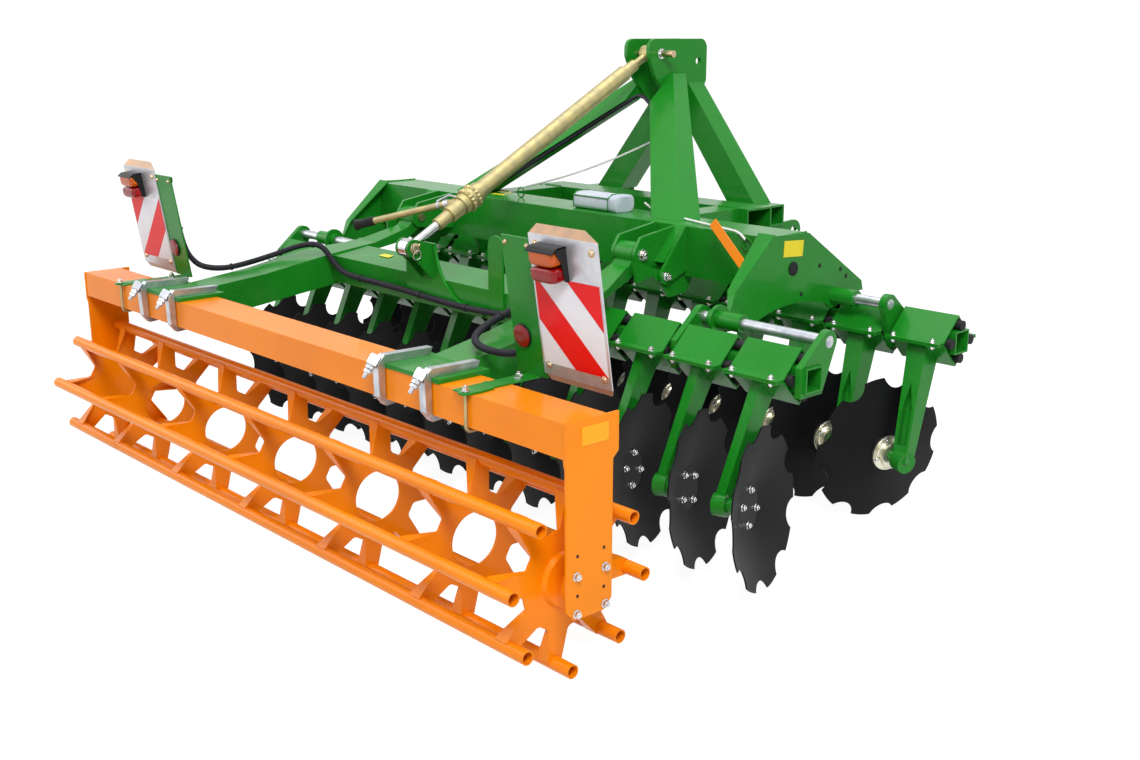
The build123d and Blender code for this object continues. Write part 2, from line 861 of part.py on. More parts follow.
# The same arm from above, right and forward: it runs inward to its narrow eye
arm_eye_inner = pivot_x - pivot_eye_width / 2
arm_eye_outer = pivot_x + pivot_eye_width / 2
arm_neck_y = 950
arm_neck_y = 950
roller_arm_plan = (
    (740, 60),
    (arm_eye_inner, arm_neck_y),
    (arm_eye_inner, pivot_y + 2 * pivot_eye_radius),
    (arm_eye_outer, pivot_y + 2 * pivot_eye_radius),
    (arm_eye_outer, arm_neck_y),
    (858, 560),
    (888, 60),
)
roller_arm_underside = 300
roller_arm_over = 900
with BuildPart() as roller_arms:
    with BuildSketch(across(arm_eye_inner)):
        with BuildLine():
            Polyline(*roller_arm_outline, close=True)
        make_face()
        with Locations((pivot_y, pivot_z)):
            Circle(pivot_eye_radius)
            Circle(pivot_pin_radius + shaft_clearance, mode=Mode.SUBTRACT)
    extrude(amount=roller_arm_plan[-1][0] - arm_eye_inner)
    with BuildSketch(level(roller_arm_underside)):
        with BuildLine():
            Polyline(*roller_arm_plan, close=True)
        make_face()
    extrude(amount=roller_arm_over - roller_arm_underside, mode=Mode.INTERSECT)
    with BuildSketch(level(roller_beam_top)):
        with Locations((roller_arm_x, arm_foot_y)):
            Rectangle(arm_foot_length, arm_foot_depth)
    extrude(amount=arm_foot_top - roller_beam_top)
    mirror(about=centre)
keep(roller_arms.part, "roller_arms")

# Cross member: a folded box between the arms, bevelled under its front edge to clear the disc row as the frame
# swings, with a flat upright tab behind
cross_member_outline = ((610, 478), (610, 585), (765, 611), (765, 560), (690, 478))
cross_member_half = 664
tab_x = 400
tab_width = 80
tab_foot_z = 500
tab_height = 285
tab_thickness = 8
with BuildPart() as cross_member:
    with BuildSketch(across(-cross_member_half)):
        with BuildLine():
            Polyline(*cross_member_outline, close=True)
        make_face()
        offset(amount=-cross_member_wall, mode=Mode.SUBTRACT)
    extrude(amount=2 * cross_member_half)
    add(roller_arms.part, mode=Mode.SUBTRACT)
    with BuildSketch(seen_from_rear(cross_member_outline[0][0])):
        with Locations((tab_x, tab_foot_z + tab_height / 2)):
            RectangleRounded(tab_width, tab_height, tab_width / 2 - 1)
        with Locations((tab_x, tab_foot_z + tab_width / 4)):
            Rectangle(tab_width, tab_width / 2)
    extrude(amount=tab_thickness)
keep(cross_member.part, "cross_member")

# Clevis for the turnbuckle's lower eye: two cheeks on a back plate that flares out to the right
clevis_cheek_outline = (
    (clevis_back_y, 580),
    (clevis_back_y, 716),
    (lower_eye_y, lower_eye_z + eye_radius),
    (lower_eye_y - eye_radius, lower_eye_z),
)
# Back plate, right and up from the arc's lower end; the arc runs back to it from the top
clevis_back_outline = ((330, 500), (330, 482), (-130, 482), (-130, 690), (-110, 716), (50, 716))
clevis_back_arc = (105, 580)
with BuildPart() as eye_clevis:
    with BuildSketch(across(clevis_half_gap)):
        with BuildLine():
            Polyline(*clevis_cheek_outline, close=True)
        make_face()
        with Locations((lower_eye_y, lower_eye_z)):
            Circle(eye_radius)
            Circle(pin_radius + pin_play, mode=Mode.SUBTRACT)
    extrude(amount=clevis_plate)
    mirror(about=centre)
    with BuildSketch(seen_from_rear(cross_member_outline[0][0])):
        with BuildLine():
            Polyline(*clevis_back_outline)
            ThreePointArc(clevis_back_outline[-1], clevis_back_arc, clevis_back_outline[0])
        make_face()
    extrude(amount=cross_member_outline[0][0] - clevis_back_y)
keep(eye_clevis.part, "eye_clevis")

with BuildPart() as lower_pin:
    with BuildSketch(across(-clevis_half_gap - clevis_plate - pin_end)):
        with Locations((lower_eye_y, lower_eye_z)):
            Circle(pin_radius)
    extrude(amount=2 * (clevis_half_gap + clevis_plate + pin_end))
keep(lower_pin.part, "lower_pin")

# Galvanised hook clamps that hold the arm feet down on the roller beam
hook_top = arm_foot_top + weld_gap
hook_bottom = roller_beam_top - roller_beam_height
hook_outline = (
    (85, hook_top),
    (95, hook_top + 22),
    (-85, hook_top + 26),
    (-112, hook_top),
    (-108, hook_bottom + 10),
    (-84, hook_bottom - 20),
    (-40, hook_bottom - 16),
    (-40, hook_bottom),
    (-86, hook_bottom),
    (-86, hook_top),
)
with BuildPart() as hook_clamps:
    for hook_x in (roller_arm_x - hook_spread, roller_arm_x + hook_spread):
        with BuildSketch(across(hook_x - hook_width / 2)):
            with BuildLine():
                Polyline(*hook_outline, close=True)
            make_face()
        extrude(amount=hook_width)
    mirror(about=centre)
keep(hook_clamps.part, "hook_clamps")

# Marker boards, their brackets and lamps, leaning a little to the rear
board_lean = machine.z_dir.rotate(Axis((0, 0, 0), (1, 0, 0)), board_lean_angle)


def board_plane(x):
    """Give the leaning plane that crosses X at a board's foot, drawn forward and up the board."""
    foot = spot(x, board_foot_y, board_foot_z)
    return Plane(origin=foot, x_dir=board_lean.cross(machine.x_dir), z_dir=machine.x_dir)


left_bracket_x = -right_bracket_x - left_bracket_shift - bracket_width
board_table = (
    # bracket x, board x, lamp x
    (right_bracket_x, right_bracket_x + bracket_width - board_overlap, right_lamp_x),
    (left_bracket_x, left_bracket_x + board_overlap - board_width, left_lamp_x),
)
upright_height = board_height - bracket_short + bracket_below
upright_middle = (board_height - bracket_short - bracket_below) / 2
with BuildPart() as boards:
    for bracket_x, board_x, lamp_x in board_table:
        with BuildSketch(board_plane(board_x)):
            with Locations((0, board_height / 2)):
                Rectangle(board_thickness, board_height)
        extrude(amount=board_width)
keep(boards.part, "marker_boards")

with BuildPart() as brackets:
    for bracket_x, board_x, lamp_x in board_table:
        with BuildSketch(board_plane(bracket_x)):
            with Locations((bracket_thickness / 2 + board_thickness / 2, upright_middle)):
                Rectangle(bracket_thickness, upright_height)
        extrude(amount=bracket_width)
        with BuildSketch(level(roller_beam_top)):
            with Locations((bracket_x + bracket_width / 2, bracket_foot_y)):
                Rectangle(bracket_foot_width, bracket_foot_depth)
        extrude(amount=bracket_thickness)
keep(brackets.part, "board_brackets")

# Conduit of the lamps' leads, right, forward and up: down a bracket, along an arm, over its edge, along the
# cross member and back the same way on the other side
conduit_route = (
    (-1122, 139.3, 883.8),
    (-1122, 160.0, 745.4),
    (-1112, 180.7, 606.9),
    (-1075, 205, 548),
    (-985, 214, 538),
    (-888, 250, 545),
    (-866, 350, 562),
    (-853, 455, 584),
    (-790, 546, 622),
    (-695, 578, 631),
    (-630, 588, 568),
    (-560, 587, 530),
    (-430, 585.5, 523),
    (-280, 585.5, 522),
    (-120, 585.5, 519),
    (40, 585.5, 512),
    (200, 585.5, 507),
    (360, 585.5, 510),
    (500, 586, 518),
    (590, 590, 550),
    (650, 586, 610),
    (710, 545, 645),
    (742, 460, 622),
    (733, 350, 588),
    (752, 250, 563),
    (815, 170, 552),
    (905, 137, 543),
    (985, 178, 533),
    (1050, 205, 560),
    (1075, 192, 640),
    (1078, 160.0, 745.4),
    (1078, 139.3, 883.8),
)
with BuildPart() as lamps:
    for bracket_x, board_x, lamp_x in board_table:
        with BuildSketch(board_plane(lamp_x)):
            with Locations((-board_thickness / 2 - lamp_depth / 2, board_height - lamp_drop)):
                RectangleRounded(lamp_depth, lamp_height, lamp_corner)
        extrude(amount=lamp_width)
    # Glands on the brackets' fronts, where the conduit from lamp to lamp begins and ends
    for end, inward in (conduit_route[:2], conduit_route[:-3:-1]):
        with BuildSketch(Plane(origin=spot(*end), z_dir=spot(*end) - spot(*inward))):
            Circle(conduit_diameter / 2 + gland_wall)
        extrude(amount=gland_length)
keep(lamps.part, "lamps")


def tangent_radii(points):
    """Give each corner's arc: as large as nearly half of its shorter run allows."""
    radii = []
    for before, corner, after in zip(points, points[1:], points[2:]):
        into, out_of = corner - before, after - corner
        half_turn = radians(into.get_angle(out_of) / 2)
        radii.append(0.45 * min(into.length, out_of.length) / tan(half_turn))
    return radii


conduit_points = [spot(*point) for point in conduit_route]
conduit_radii = tangent_radii(conduit_points)
with BuildPart() as conduit:
    with BuildLine() as conduit_line:
        FilletPolyline(*conduit_points, radius=conduit_radii)
    with BuildSketch(Plane(origin=conduit_line.line @ 0, z_dir=conduit_line.line % 0)):
        Circle(conduit_diameter / 2)
    sweep()
keep(conduit.part, "lamp_conduit")
conduit_length = sum(edge.length for edge in conduit_line.edges())
expected = conduit_length * pi * conduit_diameter**2 / 4
print("conduit radii", [round(radius) for radius in conduit_radii])
print("conduit length", round(conduit_length), "volume share", round(conduit.part.volume / expected, 4))

# Turnbuckle: upper eye, sleeve with its ratchet and lever, and the lower eye that screws in and out
span = (spot(0, upper_pin_y, upper_pin_z) - spot(0, lower_eye_y, lower_eye_z)).length
link_dir = (spot(0, lower_eye_y, lower_eye_z) - spot(0, upper_pin_y, upper_pin_z)).normalized()
link_plane = Plane(origin=spot(0, upper_pin_y, upper_pin_z), x_dir=machine.x_dir, z_dir=link_dir)
sleeve_end = span - sleeve_lower_gap

with BuildPart() as upper_eye:
    with BuildSketch(across(-eye_width / 2)):
        with Locations((upper_pin_y, upper_pin_z)):
            Circle(eye_radius)
    extrude(amount=eye_width)
    with BuildSketch(link_plane):
        Circle(screw_radius)
    extrude(amount=sleeve_start + upper_screw_in)
    with BuildSketch(across(-eye_width / 2)):
        with Locations((upper_pin_y, upper_pin_z)):
            Circle(pin_radius + shaft_clearance)
    extrude(amount=eye_width, mode=Mode.SUBTRACT)
keep(upper_eye.part, "turnbuckle_upper_eye")

with BuildPart() as sleeve:
    for start, stop, radius in (
        (sleeve_start, sleeve_start + collar_length, collar_radius),
        (sleeve_start + collar_length, sleeve_end - collar_length, sleeve_radius),
        (sleeve_end - collar_length, sleeve_end, collar_radius),
    ):
        with BuildSketch(link_plane.offset(start)):
            Circle(radius)
        extrude(amount=stop - start)
    with BuildSketch(link_plane.offset(sleeve_start)):
        Circle(screw_radius + screw_play)
    extrude(amount=sleeve_end - sleeve_start, mode=Mode.SUBTRACT)
keep(sleeve.part, "turnbuckle_sleeve")

lever_end = spot(*lever_tip)
ring_centre = link_plane.origin + link_dir * (span - ratchet_from_eye)
lever_dir = (lever_end - ring_centre).normalized()
with BuildPart() as ratchet:
    with BuildSketch(link_plane.offset(span - ratchet_from_eye - ratchet_width / 2)):
        Circle(ratchet_radius)
    extrude(amount=ratchet_width)
    with BuildSketch(Plane(origin=ring_centre, z_dir=lever_dir)):
        Circle(lever_radius)
    extrude(amount=(lever_end - ring_centre).length)
    with BuildSketch(link_plane.offset(span - ratchet_from_eye - ratchet_width)):
        Circle(sleeve_radius + pin_play)
    extrude(amount=2 * ratchet_width, mode=Mode.SUBTRACT)
keep(ratchet.part, "ratchet_lever")

with BuildPart() as lower_eye:
    with BuildSketch(across(-eye_width / 2)):
        with Locations((lower_eye_y, lower_eye_z)):
            Circle(eye_radius)
    extrude(amount=eye_width)
    with BuildSketch(link_plane.offset(sleeve_end - screw_in_sleeve)):
        Circle(screw_radius)
    extrude(amount=span - sleeve_end + screw_in_sleeve)
    with BuildSketch(across(-eye_width / 2)):
        with Locations((lower_eye_y, lower_eye_z)):
            Circle(pin_radius + eye_drift)
    extrude(amount=eye_width, mode=Mode.SUBTRACT)
keep(lower_eye.part, "turnbuckle_lower_eye")
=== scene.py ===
"""Dress a mounted compact disc harrow: paint, rubber, zinc and the fine parts that the frame leaves out."""

import logging
import math
from dataclasses import dataclass
from enum import Enum
from typing import Sequence

import bmesh
import bpy
from mathutils import Matrix, Vector

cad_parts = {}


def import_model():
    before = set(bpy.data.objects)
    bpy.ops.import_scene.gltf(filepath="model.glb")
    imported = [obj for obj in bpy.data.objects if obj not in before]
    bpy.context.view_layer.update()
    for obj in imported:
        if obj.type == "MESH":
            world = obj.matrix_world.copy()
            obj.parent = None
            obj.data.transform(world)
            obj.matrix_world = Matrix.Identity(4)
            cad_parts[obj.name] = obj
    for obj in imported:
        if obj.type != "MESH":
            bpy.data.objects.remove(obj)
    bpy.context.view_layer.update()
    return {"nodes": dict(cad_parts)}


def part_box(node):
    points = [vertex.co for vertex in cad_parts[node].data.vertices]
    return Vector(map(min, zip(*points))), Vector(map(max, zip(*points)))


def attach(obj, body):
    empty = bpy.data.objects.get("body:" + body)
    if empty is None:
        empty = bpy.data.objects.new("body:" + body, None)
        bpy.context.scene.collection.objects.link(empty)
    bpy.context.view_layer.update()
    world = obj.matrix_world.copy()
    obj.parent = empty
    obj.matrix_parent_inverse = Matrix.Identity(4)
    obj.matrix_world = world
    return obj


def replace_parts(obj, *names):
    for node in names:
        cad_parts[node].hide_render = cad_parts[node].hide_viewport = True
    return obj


log = logging.getLogger("harrow")
Point = Sequence[float]
Profile = Sequence[tuple[float, float]]


@dataclass(frozen=True)
class Stance:
    """How the parked machine stands: nose-down turn, middle of its box and height of the roller's axis."""

    nose_down: float = math.radians(3.19874940613146)
    middle_x: float = 0.066
    middle_y: float = 0.962
    axle_height: float = 0.2652155348

    def matrix(self) -> Matrix:
        """Return the transform from machine axes to the parked frame."""
        turn = Matrix.Rotation(-self.nose_down, 4, "X")
        return Matrix.Translation((-self.middle_x, -self.middle_y, self.axle_height)) @ turn


STANCE = Stance()


class Wire:
    """A shader socket that reads like a number in expressions."""

    def __init__(self, shader: "Shader", socket: bpy.types.NodeSocket) -> None:
        """Keep the shader that owns the socket."""
        self.shader = shader
        self.socket = socket

    def _math(self, operation: str, left: "Wire | float", right: "Wire | float") -> "Wire":
        """Add one Math node and return its value."""
        return self.shader.node("ShaderNodeMath", {"operation": operation}, {0: left, 1: right})

    def __add__(self, other: "Wire | float") -> "Wire":
        """Return the sum."""
        return self._math("ADD", self, other)

    def __radd__(self, other: float) -> "Wire":
        """Return the sum."""
        return self._math("ADD", other, self)

    def __sub__(self, other: "Wire | float") -> "Wire":
        """Return the difference."""
        return self._math("SUBTRACT", self, other)

    def __mul__(self, other: "Wire | float") -> "Wire":
        """Return the product."""
        return self._math("MULTIPLY", self, other)

    def __gt__(self, other: "Wire | float") -> "Wire":
        """Return 1 where this is larger."""
        return self._math("GREATER_THAN", self, other)

    def step(self, low: float, high: float) -> "Wire":
        """Return a smooth rise from 0 at low to 1 at high."""
        inputs = {"Value": self, "From Min": low, "From Max": high}
        return self.shader.node("ShaderNodeMapRange", {"interpolation_type": "SMOOTHSTEP"}, inputs)


class Shader:
    """One material under construction, with a Principled shader at its end."""

    def __init__(self, name: str) -> None:
        """Start an empty material with its Principled shader."""
        self.material = bpy.data.materials.new(name)
        self.material.use_nodes = True
        self.tree = self.material.node_tree
        self.tree.nodes.clear()
        output = self.tree.nodes.new("ShaderNodeOutputMaterial")
        self.surface = self.tree.nodes.new("ShaderNodeBsdfPrincipled")
        self.tree.links.new(self.surface.outputs[0], output.inputs["Surface"])

    def node(
        self,
        kind: str,
        settings: dict[str, object] | None = None,
        inputs: dict[int | str, object] | None = None,
        output: int | str = 0,
    ) -> Wire:
        """Add one node of any kind.

        Args:
            kind: the node's type.
            settings: its own settings, set first.
            inputs: values or wires for its sockets.
            output: the socket to return.

        Returns:
            The wire of that output.
        """
        made = self.tree.nodes.new(kind)
        for key, value in (settings or {}).items():
            setattr(made, key, value)
        for key, value in (inputs or {}).items():
            socket = made.inputs[key]
            if isinstance(value, Wire):
                self.tree.links.new(value.socket, socket)
            else:
                socket.default_value = value
        return Wire(self, made.outputs[output])

    def put(self, socket: str, value: object) -> None:
        """Give one of the Principled shader's sockets a value or a wire."""
        if isinstance(value, Wire):
            self.tree.links.new(value.socket, self.surface.inputs[socket])
        else:
            self.surface.inputs[socket].default_value = value

    def place(self) -> Wire:
        """Return the surface's own place on its piece, in metres."""
        return self.node("ShaderNodeTexCoord", None, None, "Object")

    def noise(self, scale: float, detail: float) -> Wire:
        """Return a smooth noise between 0 and 1."""
        inputs = {"Vector": self.place(), "Scale": scale, "Detail": detail}
        return self.node("ShaderNodeTexNoise", {"noise_dimensions": "3D"}, inputs)

    def blend(self, share: Wire | float, low: object, high: object) -> Wire:
        """Return a colour between two colours."""
        inputs = {0: share, 6: rgba(low), 7: rgba(high)}
        return self.node("ShaderNodeMix", {"data_type": "RGBA"}, inputs, 2)

    def bump(self, height: Wire, strength: float, depth: float, normal: Wire | None = None) -> Wire:
        """Return a normal that follows a height."""
        inputs = {"Height": height, "Strength": strength, "Distance": depth}
        if normal is not None:
            inputs["Normal"] = normal
        return self.node("ShaderNodeBump", None, inputs)

    def soft_edges(self, radius: float) -> Wire:
        """Return a normal that rounds sharp edges by a small radius."""
        return self.node("ShaderNodeBevel", {"samples": 6}, {"Radius": radius})


def rgba(colour: object) -> object:
    """Return a colour with its alpha, or a wire as it is."""
    return colour if isinstance(colour, Wire) else (*colour[:3], 1.0)


DUST = (0.36, 0.34, 0.29)


@dataclass(frozen=True)
class Paint:
    """Sprayed steel: a clear glossy colour with a little orange peel and dust in scattered patches."""

    name: str
    colour: tuple[float, float, float]
    shade: tuple[float, float, float]
    roughness: float = 0.24
    coat: float = 0.16
    specular: float = 0.16
    dust: float = 0.04
    edge: float = 0.0022
    peel: float = 0.05

    def build(self) -> bpy.types.Material:
        """Return the material."""
        shader = Shader(self.name)
        patch = shader.noise(2.3, 4.0)
        grime = shader.noise(11.0, 6.0)
        colour = shader.blend(patch.step(0.35, 0.75), self.colour, self.shade)
        dusty = (grime * patch).step(0.2, 0.55) * self.dust
        shader.put("Base Color", shader.blend(dusty, colour, DUST))
        shader.put("Roughness", self.roughness + dusty * 1.2 + grime * 0.08)
        shader.put("Specular IOR Level", self.specular)
        shader.put("Coat Weight", self.coat)
        shader.put("Coat Roughness", 0.05)
        fine = shader.noise(420.0, 2.0)
        shader.put("Normal", shader.bump(fine, self.peel, 0.0004, shader.soft_edges(self.edge)))
        return shader.material


@dataclass(frozen=True)
class Metal:
    """Bare, plated or galvanised metal with a cloudy, slightly uneven surface."""

    name: str
    colour: tuple[float, float, float]
    shade: tuple[float, float, float]
    roughness: float = 0.34
    spread: float = 0.18
    cloud: float = 26.0
    metallic: float = 1.0
    edge: float = 0.0012

    def build(self) -> bpy.types.Material:
        """Return the material."""
        shader = Shader(self.name)
        cloud = shader.noise(self.cloud, 5.0)
        spangle = shader.noise(self.cloud * 6.0, 2.0)
        shader.put("Base Color", shader.blend(cloud.step(0.3, 0.7), self.colour, self.shade))
        shader.put("Metallic", self.metallic)
        shader.put("Roughness", self.roughness + (cloud - 0.5) * self.spread + (spangle - 0.5) * 0.1)
        shader.put("Normal", shader.bump(spangle, 0.06, 0.0005, shader.soft_edges(self.edge)))
        return shader.material


@dataclass(frozen=True)
class Moulding:
    """Rubber or plastic with a fine grain."""

    name: str
    colour: tuple[float, float, float]
    shade: tuple[float, float, float]
    roughness: float = 0.6
    grain: float = 0.12
    edge: float = 0.002

    def build(self) -> bpy.types.Material:
        """Return the material."""
        shader = Shader(self.name)
        cloud = shader.noise(9.0, 4.0)
        grain = shader.noise(700.0, 2.0)
        shader.put("Base Color", shader.blend(cloud.step(0.3, 0.75), self.colour, self.shade))
        shader.put("Roughness", self.roughness + (cloud - 0.5) * 0.2)
        shader.put("Specular IOR Level", 0.2)
        shader.put("Normal", shader.bump(grain, self.grain, 0.0004, shader.soft_edges(self.edge)))
        return shader.material


@dataclass(frozen=True)
class Lens:
    """Clear coloured plastic over a ribbed reflector."""

    name: str
    colour: tuple[float, float, float]
    shade: tuple[float, float, float]
    ribs: float = 210.0

    def build(self) -> bpy.types.Material:
        """Return the material."""
        shader = Shader(self.name)
        inputs = {"Vector": shader.place(), "Scale": self.ribs}
        rib = shader.node("ShaderNodeTexWave", {"bands_direction": "X"}, inputs)
        shader.put("Base Color", shader.blend(rib, self.shade, self.colour))
        shader.put("Roughness", 0.12)
        shader.put("Specular IOR Level", 0.3)
        shader.put("Coat Weight", 0.2)
        shader.put("Coat Roughness", 0.04)
        shader.put("Normal", shader.bump(rib, 0.25, 0.0006))
        return shader.material


class Finish(Enum):
    """The finishes that the harrow wears."""

    GREEN = Paint("green_paint", (0.010, 0.225, 0.014), (0.007, 0.185, 0.010))
    ORANGE = Paint("orange_paint", (0.92, 0.258, 0.001), (0.84, 0.222, 0.001), roughness=0.26, specular=0.12)
    DISC_BLACK = Paint(
        "disc_black",
        (0.004, 0.0042, 0.005),
        (0.007, 0.007, 0.008),
        roughness=0.38,
        coat=0.0,
        specular=0.09,
        dust=0.01,
    )
    GALVANISED = Metal("galvanised", (0.60, 0.62, 0.65), (0.42, 0.45, 0.49), metallic=0.85)
    YELLOW_ZINC = Metal("yellow_zinc", (0.50, 0.42, 0.18), (0.38, 0.33, 0.18), roughness=0.46, metallic=0.7)
    HUB_ZINC = Metal("hub_zinc", (0.74, 0.72, 0.58), (0.56, 0.55, 0.42), roughness=0.28, metallic=0.85)
    STEEL = Metal("bright_steel", (0.72, 0.72, 0.73), (0.58, 0.58, 0.6), roughness=0.2, spread=0.08)
    COPPER_ZINC = Metal("worn_zinc", (0.64, 0.42, 0.26), (0.5, 0.44, 0.3), roughness=0.34)
    RUBBER = Moulding("rubber", (0.008, 0.008, 0.009), (0.018, 0.018, 0.020))
    CONDUIT = Moulding("conduit_plastic", (0.012, 0.012, 0.018), (0.020, 0.020, 0.028), roughness=0.5)
    BLACK_PLASTIC = Moulding("black_plastic", (0.010, 0.010, 0.011), (0.016, 0.016, 0.017), roughness=0.4)
    PALE_PLASTIC = Moulding("pale_plastic", (0.62, 0.66, 0.74), (0.52, 0.56, 0.66), roughness=0.3)
    ROPE = Moulding("rope_fibre", (0.84, 0.84, 0.83), (0.74, 0.74, 0.73), roughness=0.8, grain=0.5)
    BOARD = Metal("board_aluminium", (0.62, 0.63, 0.66), (0.52, 0.53, 0.57), roughness=0.34, metallic=0.7)
    # A plain tan colour laid on the board's folded edges.
    TAN_FOLD = Metal("tan_folded_edges", (0.46, 0.27, 0.15), (0.36, 0.24, 0.16), roughness=0.42, metallic=0.5)
    STRIPE_WHITE = Paint("stripe_white", (0.80, 0.84, 0.90), (0.77, 0.81, 0.88), roughness=0.35, dust=0.01)
    STRIPE_RED = Paint("stripe_red", (0.80, 0.001, 0.004), (0.74, 0.001, 0.003), roughness=0.35, dust=0.03)
    PLATE_YELLOW = Paint("plate_yellow", (0.86, 0.70, 0.02), (0.80, 0.64, 0.02), roughness=0.35, dust=0.04)
    REFLECTOR_AMBER = Paint(
        "reflector_amber", (0.95, 0.40, 0.004), (0.88, 0.34, 0.004), roughness=0.22, dust=0.0
    )
    RED_LENS = Lens("red_lens", (0.36, 0.001, 0.003), (0.13, 0.001, 0.002))
    AMBER_LENS = Lens("amber_lens", (0.70, 0.13, 0.001), (0.30, 0.036, 0.001))


class Paintbox:
    """Builds each finish once and hands it out."""

    def __init__(self) -> None:
        """Start with no material built."""
        self.built: dict[Finish, bpy.types.Material] = {}

    def of(self, finish: Finish) -> bpy.types.Material:
        """Return the material of a finish."""
        if finish not in self.built:
            self.built[finish] = finish.value.build()
        return self.built[finish]


PAINTBOX = Paintbox()


def dress_node(node: bpy.types.Object, finish: Finish) -> None:
    """Give a frame node its finish in every slot."""
    for index in range(len(node.data.materials)):
        node.data.materials[index] = PAINTBOX.of(finish)
    if not node.data.materials:
        node.data.materials.append(PAINTBOX.of(finish))
    log.info("node %s wears %s", node.name, finish.name)


NODE_FINISHES: dict[str, Finish] = {
    "rubber_cords": Finish.RUBBER,
    "_disc_": Finish.DISC_BLACK,
    "_shafts": Finish.GALVANISED,
    "hook_clamps": Finish.GALVANISED,
    "lower_eye": Finish.STEEL,
    "turnbuckle": Finish.YELLOW_ZINC,
    "ratchet": Finish.YELLOW_ZINC,
    "pin": Finish.COPPER_ZINC,
    "pointer": Finish.ORANGE,
    "document": Finish.PALE_PLASTIC,
    "marker_boards": Finish.BOARD,
    "lamps": Finish.BLACK_PLASTIC,
    "roller_beam": Finish.ORANGE,
    "roller_end_plates": Finish.ORANGE,
    "roller_bars": Finish.ORANGE,
    "roller_stars": Finish.ORANGE,
    "lamp_conduit": Finish.CONDUIT,
}


def dress_frame(nodes: dict[str, bpy.types.Object]) -> None:
    """Dress every node of the frame by its name; green where nothing else fits."""
    for name, node in sorted(nodes.items()):
        found = [finish for key, finish in NODE_FINISHES.items() if key in name]
        dress_node(node, found[0] if found else Finish.GREEN)


def basis(axis: Point) -> tuple[Vector, Vector, Vector]:
    """Return two unit directions across an axis and the axis itself, as a right-handed set."""
    along = Vector(axis).normalized()
    helper = Vector((0.0, 0.0, 1.0)) if abs(along.z) < 0.9 else Vector((1.0, 0.0, 0.0))
    side = helper.cross(along).normalized()
    return side, along.cross(side), along


def placed(name: str, data: bpy.types.ID) -> bpy.types.Object:
    """Return a new object in the scene that shows the data."""
    made = bpy.data.objects.new(name, data)
    bpy.context.scene.collection.objects.link(made)
    return made


def ring_of(centre: Point, side: Vector, up: Vector, radius: float, sides: int) -> list[Vector]:
    """Return places round a centre, in the plane of two directions."""
    turns = [2.0 * math.pi * k / sides for k in range(sides)]
    return [Vector(centre) + (side * math.cos(t) + up * math.sin(t)) * radius for t in turns]


def boxy_ring(half: tuple[float, float], power: float, sides: int, start: float = 0.0) -> Profile:
    """Return an outline between an ellipse and its box.

    Args:
        half: half its width and half its height.
        power: how boxy it is; 1 is an ellipse and 0 is the box.
        sides: how many points it has.
        start: the first point's turn, in steps.

    Returns:
        Its (across, up) points about its middle.
    """
    places = []
    for k in range(sides):
        turn = 2.0 * math.pi * (k + start) / sides
        across, up = math.cos(turn), math.sin(turn)
        across, up = math.copysign(abs(across) ** power, across), math.copysign(abs(up) ** power, up)
        places.append((half[0] * across, half[1] * up))
    return places


